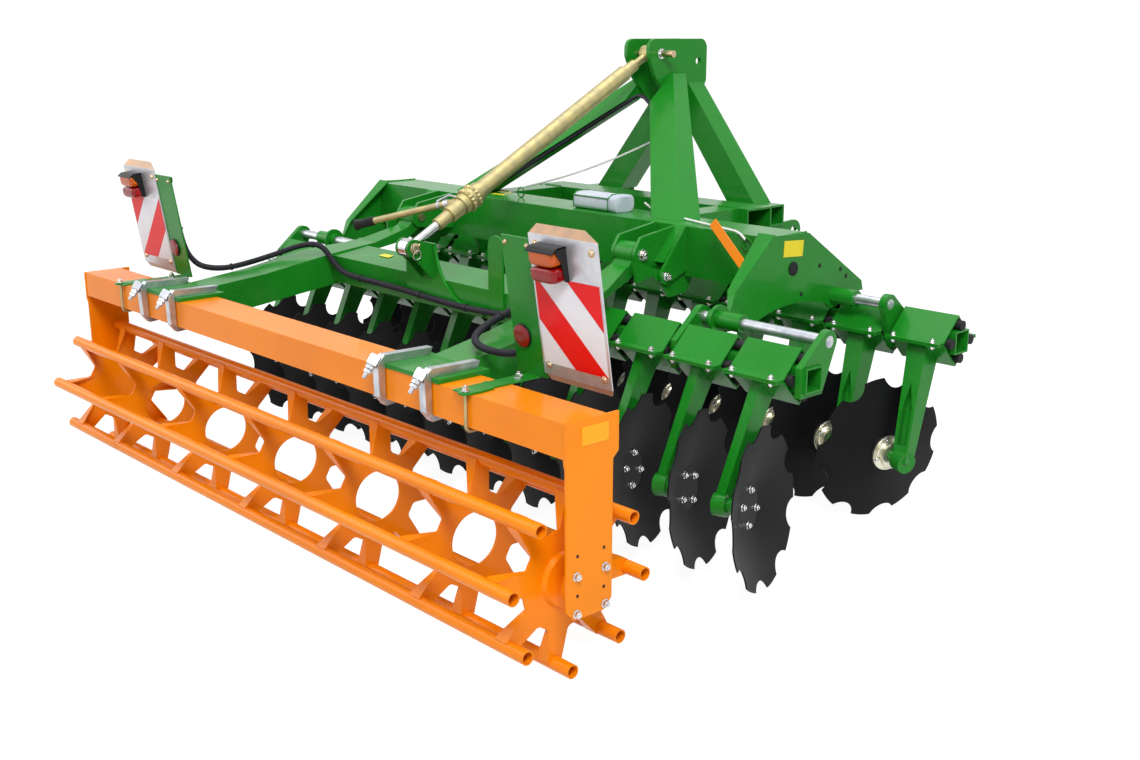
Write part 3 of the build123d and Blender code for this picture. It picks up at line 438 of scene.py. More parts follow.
class Forge:
    """Shapes one piece in machine axes, in metres, and hands it over parked, dressed and riding."""

    def __init__(self) -> None:
        """Start with an empty mesh."""
        self.mesh = bmesh.new()

    def skin(self, rings: Sequence[Sequence[Point]], closed: bool = False) -> None:
        """Join rings of equally many points by walls, and cap both ends or join the last to the first."""
        made = [[self.mesh.verts.new(point) for point in ring] for ring in rings]
        count = len(made[0])
        for lower, upper in zip(made, made[1:] + (made[:1] if closed else [])):
            for index in range(count):
                after = (index + 1) % count
                self.mesh.faces.new((lower[index], lower[after], upper[after], upper[index]))
        if not closed:
            self.mesh.faces.new(made[0])
            self.mesh.faces.new(made[-1])

    def lathe(self, centre: Point, axis: Point, profile: Profile, sides: int) -> None:
        """Turn a profile of (way along the axis, radius) about an axis."""
        side, up, along = basis(axis)
        self.skin([ring_of(Vector(centre) + along * way, side, up, radius, sides) for way, radius in profile])

    def band(self, centre: Point, axis: Point, profile: Profile, sides: int) -> None:
        """Turn a closed profile of (way along the axis, radius) about an axis: a ring with a hole."""
        side, up, along = basis(axis)
        rings = []
        for out in ring_of((0.0, 0.0, 0.0), side, up, 1.0, sides):
            rings.append([Vector(centre) + along * way + out * radius for way, radius in profile])
        self.skin(rings, closed=True)

    def prism(self, outline: Sequence[Point], along: Point) -> None:
        """Push a flat outline along a direction."""
        self.skin([[Vector(p) for p in outline], [Vector(p) + Vector(along) for p in outline]])

    def tube(
        self, points: Sequence[Point], radius: float | list[float], sides: int, closed: bool = False
    ) -> None:
        """Lead a round bar along points, carrying its ring from one to the next without twist.

        Args:
            points: the bar's centreline.
            radius: its radius, or one radius for each point.
            sides: how many sides it has.
            closed: whether its end joins its start.
        """
        places = [Vector(p) for p in points]
        count = len(places)
        radii = radius if isinstance(radius, list) else [radius] * count
        side = None
        rings = []
        for index, place in enumerate(places):
            before = places[index - 1] if index or closed else places[0]
            after = places[(index + 1) % count] if index < count - 1 or closed else places[-1]
            along = (after - before).normalized()
            side = basis(along)[0] if side is None else (side - along * side.dot(along)).normalized()
            rings.append(ring_of(place, side, along.cross(side), radii[index], sides))
        self.skin(rings, closed)

    def bolt(self, centre: Point, axis: Point, flats: float, height: float, washer: bool = True) -> None:
        """Add a hexagon head on its washer, its seat at the given centre."""
        corner = flats / math.sqrt(3.0)
        start = 0.0
        if washer:
            start = 0.0022
            profile = ((0.0, corner * 1.22), (start * 0.8, corner * 1.22), (start, corner * 1.14))
            self.lathe(centre, axis, profile, 16)
        top = start + height
        self.lathe(centre, axis, ((start, corner), (top - 0.0014, corner), (top, corner * 0.84)), 6)
        end = ((top, flats * 0.27), (top + height * 0.45, flats * 0.27), (top + height * 0.5, flats * 0.22))
        self.lathe(centre, axis, end, 10)

    def done(self, name: str, body: str, finish: Finish, crease: float = 38.0) -> bpy.types.Object:
        """Park the piece, smooth what is round, dress it and let it ride.

        Args:
            name: the piece's name.
            body: the body that it rides on.
            finish: what it is made of.
            crease: the angle in degrees above which an edge stays sharp.

        Returns:
            The finished object.
        """
        bmesh.ops.recalc_face_normals(self.mesh, faces=self.mesh.faces[:])
        data = bpy.data.meshes.new(name)
        self.mesh.to_mesh(data)
        self.mesh.free()
        data.transform(STANCE.matrix())
        data.shade_smooth()
        data.set_sharp_from_angle(angle=math.radians(crease))
        piece = placed(name, data)
        data.materials.append(PAINTBOX.of(finish))
        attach(piece, body)
        log.info("piece %s: %d faces on %s", name, len(data.polygons), body)
        return piece


REAR_ARM_ROOT = 0.019
FRONT_ARM_ROOT = 0.036


@dataclass
class DiscFittings:
    """Hub flange, hub and bright bolts of one disc, about the disc's own tilted axis."""

    name: str
    clamp_x: float
    tube_y: float
    boss_dx: float
    side: int
    toe: float = math.radians(18.3)
    camber: float = math.radians(4.5)
    lean: float = 0.205
    hub_height: float = 0.060
    boss_from_rim: float = 0.135
    dish: float = 0.050
    plate: float = 0.005
    flange: float = 0.0094
    head_ring: float = 0.0530
    bolt_ring: float = 0.0545
    bolts: int = 4
    start_turn: float = 0.0

    def axis(self) -> Vector:
        """Return the hub's direction, from the rim's plane to the hub."""
        level = math.cos(self.camber)
        across, forward = self.side * math.cos(self.toe) * level, -math.sin(self.toe) * level
        return Vector((across, forward, -math.sin(self.camber)))

    def build(self) -> None:
        """Make the flange with its nuts and the bolt heads on the other face."""
        axis = self.axis()
        boss = Vector((self.clamp_x + self.boss_dx, self.tube_y - self.lean, self.hub_height))
        rim = boss - axis * self.boss_from_rim
        side, up, _ = basis(axis)
        flange = Forge()
        top = self.dish + self.flange
        profile = (
            (self.dish + 0.0006, 0.0624),
            (top - 0.0015, 0.0627),
            (top, 0.0612),
            (top, 0.0470),
            (top + 0.004, 0.0428),
            (top + 0.0236, 0.0424),
            (top + 0.0242, 0.0400),
            (top + 0.0242, 0.0236),
            (top + 0.020, 0.0236),
            (top - 0.003, 0.0300),
        )
        flange.band(rim, axis, profile, 36)
        flange.done(f"{self.name}_hub_flange", self.name, Finish.HUB_ZINC)
        heads = Forge()
        for k in range(self.bolts):
            turn = self.start_turn + 2.0 * math.pi * k / self.bolts
            out = side * math.cos(turn) + up * math.sin(turn)
            heads.bolt(rim + out * self.head_ring + axis * top, axis, 0.013, 0.007, washer=False)
            heads.bolt(rim + out * self.bolt_ring + axis * (self.dish - self.plate), -axis, 0.017, 0.008)
        heads.done(f"{self.name}_bolts", self.name, Finish.STEEL)


@dataclass
class DiscRow:
    """One row's clamp bolts, shaft ends, arm welds and disc fittings."""

    name: str
    tube_y: float
    first_x: float
    boss_dx: float
    side: int
    lugs: tuple[float, ...]
    shaft_y: float
    pitch: float = 0.250
    discs: int = 12
    tube_z: float = 0.456
    flange_at: float = 0.107
    bolt_at: float = 0.077
    flange_thickness: float = 0.006
    shaft_z: float = 0.560
    lug_thickness: float = 0.024
    disc_turn_step: float = 0.78

    def clamp_places(self) -> list[float]:
        """Return the clamps' X, from the right."""
        return [self.first_x - k * self.pitch for k in range(self.discs)]

    def build(self) -> None:
        """Make every fitting of the row."""
        self.clamp_bolts()
        for k, clamp_x in enumerate(self.clamp_places()):
            disc = f"{self.name}_disc_{k + 1:02d}"
            start_turn = 0.3 + self.disc_turn_step * k
            DiscFittings(disc, clamp_x, self.tube_y, self.boss_dx, self.side, start_turn=start_turn).build()
        self.shaft_ends()
        self.clamp_seams()

    def clamp_bolts(self) -> None:
        """Set four bolts with their nuts through each clamp's flanges."""
        bolts = Forge()
        rise = Vector((0.0, 0.0, self.flange_thickness))
        for clamp_x in self.clamp_places():
            for along in (-self.bolt_at, self.bolt_at):
                for out in (-self.flange_at, self.flange_at):
                    place = Vector((clamp_x + along, self.tube_y + out, self.tube_z))
                    bolts.bolt(place + rise, (0, 0, 1), 0.017, 0.008)
                    bolts.bolt(place - rise, (0, 0, -1), 0.017, 0.008, washer=False)
        bolts.done(f"{self.name}_clamp_bolts", f"{self.name}_row", Finish.STEEL)

    def shaft_ends(self) -> None:
        """Make the turned ends of the slide shafts that show in the lugs' outer faces."""
        ends = Forge()
        profile = ((0.0, 0.0150), (0.0012, 0.0148), (0.0016, 0.012), (0.0010, 0.008))
        for index, lug_x in enumerate(self.lugs):
            out = 1.0 if index % 2 == 0 else -1.0
            face = lug_x + (self.lug_thickness if out > 0 else 0.0)
            centre = (face + out * 0.0003, self.shaft_y, self.shaft_z)
            ends.lathe(centre, (out, 0, 0), profile, 24)
        ends.done(f"{self.name}_shaft_ends", f"{self.name}_row", Finish.GALVANISED)

    def clamp_seams(self) -> None:
        """Lay weld beads where each arm runs into its clamp's trough."""
        beads = Forge()
        root = REAR_ARM_ROOT if self.side < 0 else FRONT_ARM_ROOT
        for clamp_x in self.clamp_places():
            for out in (-1.0, 1.0):
                x = clamp_x + out * root
                points = []
                for k in range(9):
                    y = self.tube_y - 0.085 + 0.0085 * k
                    z = self.tube_z - 0.0905 + abs(y - self.tube_y)
                    wobble = 0.0009 * math.sin(k * 2.1 + clamp_x * 7.0)
                    points.append((x + out * (0.001 + wobble), y, z))
                beads.tube(points, 0.0035, 6)
        beads.done(f"{self.name}_arm_welds", f"{self.name}_row", Finish.GREEN, 60.0)


@dataclass
class MarkerBoard:
    """A leaning marker board: aluminium tray, striped face, lamp with hood and lens, reflector and bolts."""

    name: str
    board_x: float
    bracket_x: float
    lamp_x: float
    mirrored: bool
    foot: tuple[float, float] = (0.175, 0.510)
    lean: float = math.radians(8.5)
    width: float = 0.282
    height: float = 0.423
    plate: float = 0.004
    rim: float = 0.008
    stripe_foot: float = 0.036
    stripe_top: float = 0.302
    fold_rise: float = 0.022
    top_cut: tuple[float, float] = (0.012, 0.070)
    foot_cut: tuple[float, float] = (0.013, 0.014)
    lamp_size: tuple[float, float, float] = (0.106, 0.100, 0.052)
    lamp_up: float = 0.348
    gland: tuple[float, float, float] = (0.0, 0.0, 0.0)
    bracket_width: float = 0.132

    def at(self, x: float, up: float, out: float) -> Vector:
        """Return the place at X, a way up the board and a way out of its rear face's middle plane."""
        y = self.foot[0] - up * math.sin(self.lean) - out * math.cos(self.lean)
        z = self.foot[1] + up * math.cos(self.lean) - out * math.sin(self.lean)
        return Vector((x, y, z))

    def outward(self) -> Vector:
        """Return the direction out of the striped face."""
        return Vector((0.0, -math.cos(self.lean), -math.sin(self.lean)))

    def build(self) -> None:
        """Make all that is on one board."""
        self.stripes()
        self.folds()
        self.lenses()
        self.fasteners()

    def stripes(self) -> None:
        """Lay the white field and the two red bands that fall towards the machine's outer side."""
        out = self.plate / 2 + 0.0004
        left, right = self.board_x + self.rim, self.board_x + self.width - self.rim
        low, high = self.stripe_foot, self.stripe_top
        middle, half = (left + right) / 2, (low + high) / 2
        field = [(left, low), (right, low), (right, high), (left, high)]
        white = Forge()
        white.prism([self.at(x, up, out) for x, up in field], self.outward() * 0.0004)
        white.done(f"{self.name}_board_white", "roller_frame", Finish.STRIPE_WHITE)
        red = Forge()
        long_band = [(left, high), (right, low), (middle, low), (left, half)]
        corner_band = [(middle, high), (right, high), (right, half)]
        for band in (long_band, corner_band):
            if self.mirrored:
                band = [(left + right - x, up) for x, up in band]
            red.prism([self.at(x, up, out + 0.0006) for x, up in band], self.outward() * 0.0004)
        red.done(f"{self.name}_board_red", "roller_frame", Finish.STRIPE_RED)

    def folds(self) -> None:
        """Bend the sheet forward along the board's top and foot, with its corners cut."""
        fold = Forge()
        left, right = self.board_x, self.board_x + self.width
        inner = -self.plate / 2 + 0.0002
        edges = ((self.height, self.fold_rise, self.top_cut), (0.0, -self.fold_rise, self.foot_cut))
        for up, rise, cut in edges:
            near = [self.at(left, up, inner), self.at(right, up, inner)]
            reach = inner - (0.022 if rise > 0 else 0.008)
            far = [self.at(right - cut[1], up + rise, reach), self.at(left + cut[0], up + rise, reach)]
            thickness = self.at(0, math.copysign(0.0016, -rise), -0.0016) - self.at(0, 0, 0)
            fold.prism(near + far, thickness)
        fold.done(f"{self.name}_board_folds", "roller_frame", Finish.TAN_FOLD)

    def lamp_point(self, share: float, up: float, out: float) -> Vector:
        """Return a place on the lamp: a share of its width, a way up from its middle, a way out."""
        wide = self.lamp_size[0]
        return self.at(self.lamp_x + share * wide, self.lamp_up + up, self.plate / 2 + out)

    def lamp_section(self, low: float, high: float, out: float, inset: float) -> list[Vector]:
        """Return a rounded outline of the lamp's front at a way out."""
        middle = (low + high) / 2
        half = (0.5 - inset / self.lamp_size[0], (high - low) / 2 - inset)
        outline = boxy_ring(half, 0.45, 24, 0.5)
        return [self.lamp_point(0.5 + across, middle + up, out) for across, up in outline]

    def lamp_body(self, body: Forge) -> None:
        """Add the lamp's black back with its hood, and the gland behind the bracket, to a forge.

        Args:
            body: the forge that takes both lamps' bodies.
        """
        wide, tall, deep = self.lamp_size
        half = tall / 2
        back = ((0.0, 0.002), (0.003, 0.0), (0.015, 0.0))
        body.skin([self.lamp_section(-half, half, out, inset) for out, inset in back])
        hood = [(0.0, half + 0.003), (0.034, half + 0.004)]
        hood += [(deep * 0.8, half + 0.001), (deep + 0.001, half - 0.006)]
        inside = [(out, up - 0.0035) for out, up in reversed(hood)]
        body.prism([self.lamp_point(-0.03, up, out) for out, up in hood + inside], (wide * 1.06, 0, 0))
        cheek = [(0.0, half + 0.003), (0.034, half + 0.004), (deep * 0.8, half - 0.002)]
        cheek += [(deep * 0.7, half * 0.7), (0.022, half * 0.2), (0.016, -half * 0.9), (0.0, -half)]
        for share in (-0.03, 1.005):
            body.prism([self.lamp_point(share, up, out) for out, up in cheek], (wide * 0.025, 0, 0))
        x, y, z = self.gland
        gland = ((0.0, 0.0135), (0.012, 0.0135), (0.013, 0.0160), (0.030, 0.0160), (0.033, 0.012))
        body.lathe((x, y, z - 0.015), (0, 0, 1), gland, 12)

    def lenses(self) -> None:
        """Set the amber lens over the red one."""
        deep = self.lamp_size[2]
        half = self.lamp_size[1] / 2
        levels = [(0.013, 0.0008), (deep - 0.014, 0.0008)]
        levels += [(deep - 0.005, 0.003), (deep - 0.001, 0.008), (deep, 0.014)]
        lenses = ((Finish.AMBER_LENS, -0.002, half - 0.001), (Finish.RED_LENS, -half + 0.001, -0.0022))
        for finish, low, high in lenses:
            lens = Forge()
            lens.skin([self.lamp_section(low, high, out, inset) for out, inset in levels])
            lens.done(f"{self.name}_{finish.value.name}", "roller_frame", finish)

    def fasteners(self) -> None:
        """Set the board's round-headed bolts, and the round reflector with its rim on the bracket."""
        screws = Forge()
        round_head = ((0, 0.0115), (0.0015, 0.0115), (0.0018, 0.0092), (0.006, 0.0078), (0.008, 0.004))
        for x in (self.board_x + 0.026, self.board_x + self.width - 0.026):
            for up in (0.030, self.height - 0.030):
                screws.lathe(self.at(x, up, self.plate / 2), self.outward(), round_head, 18)
        for x in (self.bracket_x + 0.018, self.bracket_x + self.bracket_width - 0.018):
            screws.bolt(self.at(x, self.height - 0.040, -0.0018), self.outward(), 0.010, 0.005)
        screws.done(f"{self.name}_board_bolts", "roller_frame", Finish.COPPER_ZINC)
        face = self.at(self.bracket_x + self.bracket_width / 2 - 0.022, 0.100, -0.0018)
        rim = Forge()
        rim.lathe(face, self.outward(), ((0.0, 0.037), (0.004, 0.037), (0.006, 0.035)), 28)
        rim.done(f"{self.name}_reflector_rim", "roller_frame", Finish.BLACK_PLASTIC)
        glass = Forge()
        dome = ((0.0, 0.0345), (0.002, 0.034), (0.004, 0.027), (0.005, 0.012), (0.0052, 0.001))
        glass.lathe(face + self.outward() * 0.006, self.outward(), dome, 28)
        glass.done(f"{self.name}_reflector", "roller_frame", Finish.RED_LENS)


@dataclass
class RollerFittings:
    """What is bolted to the roller's frame: plate bolts, holes, reflectors, tongues, U-bolts, hook screws."""

    plate_x: float = 1.518
    bolt_y: tuple[float, float] = (-0.0435, 0.0635)
    bolt_z: tuple[float, float] = (-0.062, 0.048)
    hole_y: tuple[float, float] = (-0.0395, 0.0595)
    hole_z: tuple[float, float] = (0.106, -0.010)
    pad: tuple[tuple[float, float], tuple[float, float]] = ((-0.026, 0.413), (0.074, 0.466))
    beam_top: float = 0.486
    beam_rear: float = -0.082
    u_bolt_places: tuple[float, float] = (1.107, -1.144)
    tongue_feet: tuple[float, float] = (1.086, -1.131)
    u_bolt_out: float = 0.008
    u_bolt_drop: float = 0.112
    hook_places: tuple[float, ...] = (0.692, 0.928)

    def build(self) -> None:
        """Make them all."""
        self.end_plates()
        self.u_bolts()
        self.hook_screws()

    def end_plates(self) -> None:
        """Set each end plate's bolts, dark discs painted in as the shade inside its holes, and its amber
        reflector.
        """
        bolts = Forge()
        holes = Forge()
        for end in (-1.0, 1.0):
            face = end * (self.plate_x + 0.0002)
            for y in self.bolt_y:
                for z in self.bolt_z:
                    bolts.bolt((face, y, z), (end, 0, 0), 0.019, 0.010)
            # Flat dark discs painted in as the shade inside the end plate's holes.
            for y in self.hole_y:
                for z in self.hole_z:
                    holes.lathe((face, y, z), (end, 0, 0), ((0.0, 0.0052), (0.0002, 0.005)), 14)
        bolts.done("end_plate_bolts", "roller_frame", Finish.STEEL)
        holes.done("end_plate_hole_shade_discs", "roller_frame", Finish.RUBBER)
        for end, word in ((1.0, "right"), (-1.0, "left")):
            pad = Forge()
            (y0, z0), (y1, z1) = self.pad
            outline = [(end * self.plate_x, y, z) for y, z in ((y0, z0), (y1, z0), (y1, z1), (y0, z1))]
            pad.prism(outline, (end * 0.0016, 0, 0))
            pad.done(f"{word}_end_reflector", "roller_frame", Finish.REFLECTOR_AMBER)

    def u_bolts(self) -> None:
        """Lay each bracket's tongue on the beam, with its nut, and bend its U-bolt round the beam."""
        rods = Forge()
        nuts = Forge()
        tongue = Forge()
        y = self.beam_rear - self.u_bolt_out
        z = self.beam_top + 0.0004
        foot = self.beam_top - self.u_bolt_drop
        for x, foot_x in zip(self.u_bolt_places, self.tongue_feet):
            points = [(x, y, self.beam_top + 0.022), (x, y, foot + 0.016), (x, y + 0.002, foot + 0.008)]
            points += [(x, y + 0.008, foot + 0.002), (x, y + 0.018, foot), (x, y + 0.055, foot)]
            rods.tube(points, 0.0055, 10)
            nuts.bolt((x, y, self.beam_top + 0.008), (0, 0, 1), 0.018, 0.010)
            nuts.bolt((foot_x, 0.125, self.beam_top + 0.0052), (0, 0, 1), 0.020, 0.012)
            turns = [math.pi * (1.0 + k / 8) for k in range(9)]
            outline = [(x + 0.022 * math.cos(t), y + 0.022 * math.sin(t), z) for t in turns]
            outline += [(x + 0.026, y + 0.035, z), (foot_x + 0.040, y + 0.090, z)]
            outline += [(foot_x - 0.034, y + 0.120, z), (x - 0.024, y + 0.045, z)]
            tongue.prism(outline, (0, 0, 0.0065))
        rods.done("tongue_u_bolts", "roller_frame", Finish.YELLOW_ZINC)
        nuts.done("tongue_nuts", "roller_frame", Finish.STEEL)
        tongue.done("bracket_tongues", "roller_frame", Finish.GREEN)

    def hook_screws(self) -> None:
        """Set the slanted clamp screw in its block, with two nuts, at each hook's rear shoulder."""
        screws = Forge()
        slope = Vector((0.0, -0.62, -0.78)).normalized()
        block = ((-0.020, 0.016), (-0.016, 0.022), (0.014, 0.022), (0.016, 0.018))
        thread = ((0.0, 0.0075), (0.016, 0.0075), (0.018, 0.006))
        for x in self.hook_places:
            for end in (-1.0, 1.0):
                start = Vector((end * x, self.beam_rear - 0.034, self.beam_top + 0.024))
                screws.lathe(start, slope, block, 4)
                screws.bolt(start + slope * 0.016, slope, 0.024, 0.012)
                screws.bolt(start + slope * 0.032, slope, 0.022, 0.011, washer=False)
                screws.lathe(start + slope * 0.043, slope, thread, 12)
        screws.done("hook_screws", "roller_frame", Finish.GALVANISED)


@dataclass
class Turnbuckle:
    """Ratchet gear, pawl, lever grip and lower pin washers of the top turnbuckle."""

    upper: tuple[float, float] = (1.770, 1.385)
    lower: tuple[float, float] = (0.520, 0.704)
    ratchet_from_eye: float = 0.330
    lever_tip: tuple[float, float, float] = (-0.470, 0.600, 0.730)
    teeth: int = 18
    tooth_radii: tuple[float, float] = (0.0445, 0.0490)

    def build(self) -> None:
        """Make what shows on the tube and at its lower eye."""
        upper = Vector((0.0, *self.upper))
        lower = Vector((0.0, *self.lower))
        along = (lower - upper).normalized()
        middle = lower - along * self.ratchet_from_eye
        gear = Forge()
        side, up, _ = basis(along)
        spokes = ring_of((0.0, 0.0, 0.0), side, up, 1.0, self.teeth * 2)
        for shift in (-0.015, 0.015):
            rings = []
            for way in (-0.006, 0.006):
                centre = middle + along * (shift + way)
                rings.append([centre + out * self.tooth_radii[k % 2] for k, out in enumerate(spokes)])
            gear.skin(rings)
        gear.band(middle, along, ((-0.05, 0.0335), (-0.05, 0.0385), (0.05, 0.0385), (0.05, 0.0335)), 28)
        gear.done("ratchet_gear", "turnbuckle", Finish.YELLOW_ZINC, 25.0)
        tip = Vector(self.lever_tip)
        handle = (tip - middle).normalized()
        grip = Forge()
        profile = [(-0.092, 0.0155), (-0.086, 0.0185), (-0.030, 0.0175)]
        profile += [(-0.012, 0.0205), (-0.004, 0.0225), (-0.0006, 0.018)]
        grip.lathe(tip, handle, profile, 18)
        grip.done("lever_grip", "turnbuckle", Finish.BLACK_PLASTIC)
        pawl = Forge()
        start = middle + handle * 0.062
        rod = ((0, 0.018), (0.030, 0.030), (0.085, 0.018))
        pawl.tube([start + handle * way + Vector((0, 0, rise)) for way, rise in rod], 0.0045, 8)
        pawl.lathe(start + handle * 0.030, handle, ((0.0, 0.0165), (0.020, 0.0175), (0.024, 0.0150)), 14)
        pawl.lathe(start + handle * 0.070, handle, ((0.0, 0.0155), (0.012, 0.0160), (0.014, 0.0145)), 14)
        pawl.done("ratchet_pawl", "turnbuckle", Finish.GALVANISED)
        self.eye_washers(lower)

    def eye_washers(self, lower: Vector) -> None:
        """Put a washer on each side of the lower pin and a split ring through its end."""
        pins = Forge()
        for out in (-1.0, 1.0):
            centre = lower + Vector((out * 0.0385, 0, 0))
            pins.lathe(centre, (out, 0, 0), ((0.0, 0.022), (0.004, 0.022), (0.0055, 0.020)), 20)
        wave = [Vector((0.0455, -0.020 + 0.0013 * k, 0.018 * math.cos(k * 0.21))) for k in range(31)]
        pins.tube([lower + place for place in wave], 0.002, 6)
        pins.done("eye_pin_washers", "roller_frame", Finish.COPPER_ZINC)


@dataclass
class FrameTrim:
    """Small things on the main frame: plates, plugs, folds, bolts, document tube, ropes, hose and welds."""

    side_plate_x: float = 1.161
    beam_top: float = 0.800
    hose_foot: tuple[float, float, float] = (-0.511, 1.290, 0.800)
    hose_head: tuple[float, float, float] = (0.066, 1.850, 1.305)
    sticker: float = 0.0012
    rope_radius: float = 0.0044
    hose_radius: float = 0.0085
    wire_radius: float = 0.0026

    def build(self) -> None:
        """Make them all."""
        self.plates()
        self.side_plate_edges()
        self.bolts()
        self.holder()
        self.ropes()
        self.hose()
        self.welds()

    def plates(self) -> None:
        """Stick on the blank plates, close one of the side plate's holes with a rubber button, paint the
        shade inside four more with flat dark discs, and hang the lower pin's ring.
        """
        yellow = Forge()
        x = self.side_plate_x
        outline = [(x, 1.247, 0.729), (x, 1.352, 0.722), (x, 1.356, 0.778), (x, 1.250, 0.785)]
        yellow.prism(outline, (self.sticker, 0, 0))
        for mid_x, mid_y in ((-0.468, 1.370), (-0.420, 1.300)):
            corners = ((-0.04, -0.012), (0.04, -0.012), (0.04, 0.012), (-0.04, 0.012))
            outline = [(mid_x + dx, mid_y + dy, self.beam_top) for dx, dy in corners]
            yellow.prism(outline, (0, 0, self.sticker))
        yellow.done("blank_yellow_plates", "main_frame", Finish.PLATE_YELLOW)
        mark = Forge()
        slope = Vector((0.0, 0.160, 0.027)).normalized()
        left = Vector((-0.446, 0.690, 0.6003))
        right = left + Vector((0.065, 0, 0))
        mark.prism([left, right, right + slope * 0.028, left + slope * 0.028], (0, 0, self.sticker))
        mark.done("member_yellow_plate", "roller_frame", Finish.PLATE_YELLOW)
        plug = Forge()
        button = ((0.0, 0.024), (0.004, 0.024), (0.007, 0.019), (0.006, 0.010))
        plug.lathe((x, 1.303, 0.684), (1, 0, 0), button, 22)
        # Flat dark discs painted in as the shade inside four of the side plate's holes.
        for y, z in ((1.454, 0.677), (1.578, 0.650), (1.614, 0.621), (1.355, 0.588)):
            plug.lathe((x, y, z), (1, 0, 0), ((0.0, 0.0085), (0.0003, 0.008)), 14)
        plug.done("side_plate_plug_and_hole_shades", "main_frame", Finish.RUBBER)
        ring = Forge()
        loop = ring_of((0.052, 0.520, 0.682), Vector((0, 0.017, 0)), Vector((0.004, 0, 0.017)), 1.0, 24)
        ring.tube(loop, 0.002, 7, closed=True)
        ring.done("lower_linch_ring", "roller_frame", Finish.STEEL)

    def side_plate_edges(self) -> None:
        """Fold a flange inward along each side plate's sloping rear edge, narrowing towards its foot."""
        edge = ((1.200, 0.807, 0.070), (1.008, 0.637, 0.036), (0.972, 0.545, 0.004))
        normal = Vector((0.0, -0.0045, 0.0045))
        for end, word in ((1.0, "right"), (-1.0, "left")):
            fold = Forge()
            rings = []
            for y, z, width in edge:
                corner = Vector((end * self.side_plate_x, y, z))
                inner = corner - Vector((end * width, 0, 0))
                rings.append([corner, inner, inner + normal, corner + normal])
            fold.skin(rings)
            fold.done(f"{word}_side_plate_fold", "main_frame", Finish.GREEN)

    def bolts(self) -> None:
        """Set the bolts on the pivot ears, the headstock and the lower hitch brackets."""
        steel = Forge()
        for end in (-1.0, 1.0):
            steel.bolt((end * 0.7705, 1.085, 0.632), (end, 0, 0), 0.024, 0.014)
            steel.bolt((end * 0.720, 1.015, 0.710), (end, 0, 0), 0.030, 0.012)
            steel.bolt((end * 0.074, 1.770, 1.385), (end, 0, 0), 0.030, 0.010)
            steel.bolt((end * 0.5465, 2.110, 0.668), (end, 0, 0), 0.010, 0.004, washer=False)
        steel.done("frame_bolts", "main_frame", Finish.STEEL)

    def holder(self) -> None:
        """Make the pale document tube with its round lid, and the wire that holds it."""
        low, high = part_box("document_box")
        back = STANCE.matrix().inverted()
        start, end = back @ Vector(low), back @ Vector(high)
        y, z = (start.y + end.y) / 2, (start.z + end.z) / 2
        half_y, half_z = abs(end.y - start.y) / 2 - 0.004, abs(end.z - start.z) / 2 - 0.003
        left, right = min(start.x, end.x), max(start.x, end.x)
        tube = Forge()
        rings = []
        lid = ((right - 0.034, 0.0), (right - 0.033, -0.002), (right - 0.006, -0.002), (right, 0.005))
        for x, inset in ((left, 0.006), (left + 0.006, 0.0), *lid):
            outline = boxy_ring((half_y - inset, half_z - inset), 0.62, 28)
            rings.append([(x, y + across, z + up) for across, up in outline])
        tube.skin(rings)
        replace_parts(tube.done("document_tube", "main_frame", Finish.PALE_PLASTIC), "document_box")
        wire = Forge()
        face = y - half_y - 0.0015
        near, far = left + 0.010, right - 0.045
        foot, head, top = z - half_z * 0.7, z + half_z * 0.62, z + half_z + 0.0005
        rim = ((near, face, foot), (near, face, head), (far, face, head), (far, face, foot))
        wire.tube(rim, self.wire_radius, 6, closed=True)
        for x in (near, far):
            strap = ((x, face, head), (x, y - half_y * 0.6, top), (x, y + half_y * 0.6, top))
            wire.tube(strap, self.wire_radius, 6)
        wire.done("holder_wire", "main_frame", Finish.GREEN)

    def ropes(self) -> None:
        """Stretch the pull rope from the left ring to the headstock, and along the beam to the right ring."""
        rope = Forge()
        ring, post, sag = Vector((-0.276, 1.300, 0.842)), Vector((-0.086, 1.880, 1.010)), 0.020
        points = []
        for k in range(17):
            share = k / 16
            point = ring.lerp(post, share)
            point.z -= 4 * sag * share * (1 - share)
            points.append(point)
        rope.tube(points, self.rope_radius, 8)
        resting = [(0.352, 1.400, 0.827), (0.400, 1.385, 0.813), (0.470, 1.362, 0.8055)]
        resting += [(0.700, 1.285, 0.8052), (0.900, 1.225, 0.8052), (0.985, 1.200, 0.8052)]
        resting += [(1.020, 1.1855, 0.800), (1.045, 1.184, 0.783)]
        rope.tube(resting, self.rope_radius, 8)
        rope.done("pull_rope", "main_frame", Finish.ROPE)
        rings = Forge()
        for centre in ((-0.276, 1.300, 0.8215), (1.052, 1.184, 0.768)):
            loop = ring_of(centre, Vector((1, 0, 0)), Vector((0, 0, 1)), 0.020, 20)
            rings.tube(loop, 0.003, 7, closed=True)
        rings.done("rope_rings", "main_frame", Finish.GREEN)

    def hose(self) -> None:
        """Clip the black hose beside the left brace, from the beam up and across towards the right brace."""
        foot, head = Vector(self.hose_foot), Vector(self.hose_head)
        along = (head - foot).normalized()
        points = [foot.lerp(head, 0.05 + 0.75 * k / 14) for k in range(15)]
        bend = ((0.03, 0.0, 0.010), (0.07, -0.008, 0.004), (0.112, -0.02, -0.018), (0.157, -0.032, -0.054))
        points += [points[-1] + Vector(step) for step in bend]
        points.insert(0, Vector((points[0].x - 0.012, points[0].y - 0.014, self.beam_top - 0.001)))
        line = Forge()
        line.tube(points, self.hose_radius, 10)
        line.done("brace_hose", "main_frame", Finish.CONDUIT)
        clips = Forge()
        profile = ((-0.005, 0.0088), (-0.005, 0.0108), (0.005, 0.0108), (0.005, 0.0088))
        for k in (2, 7, 12):
            clips.band(points[k], along, profile, 14)
        clips.done("brace_hose_clips", "main_frame", Finish.BLACK_PLASTIC)

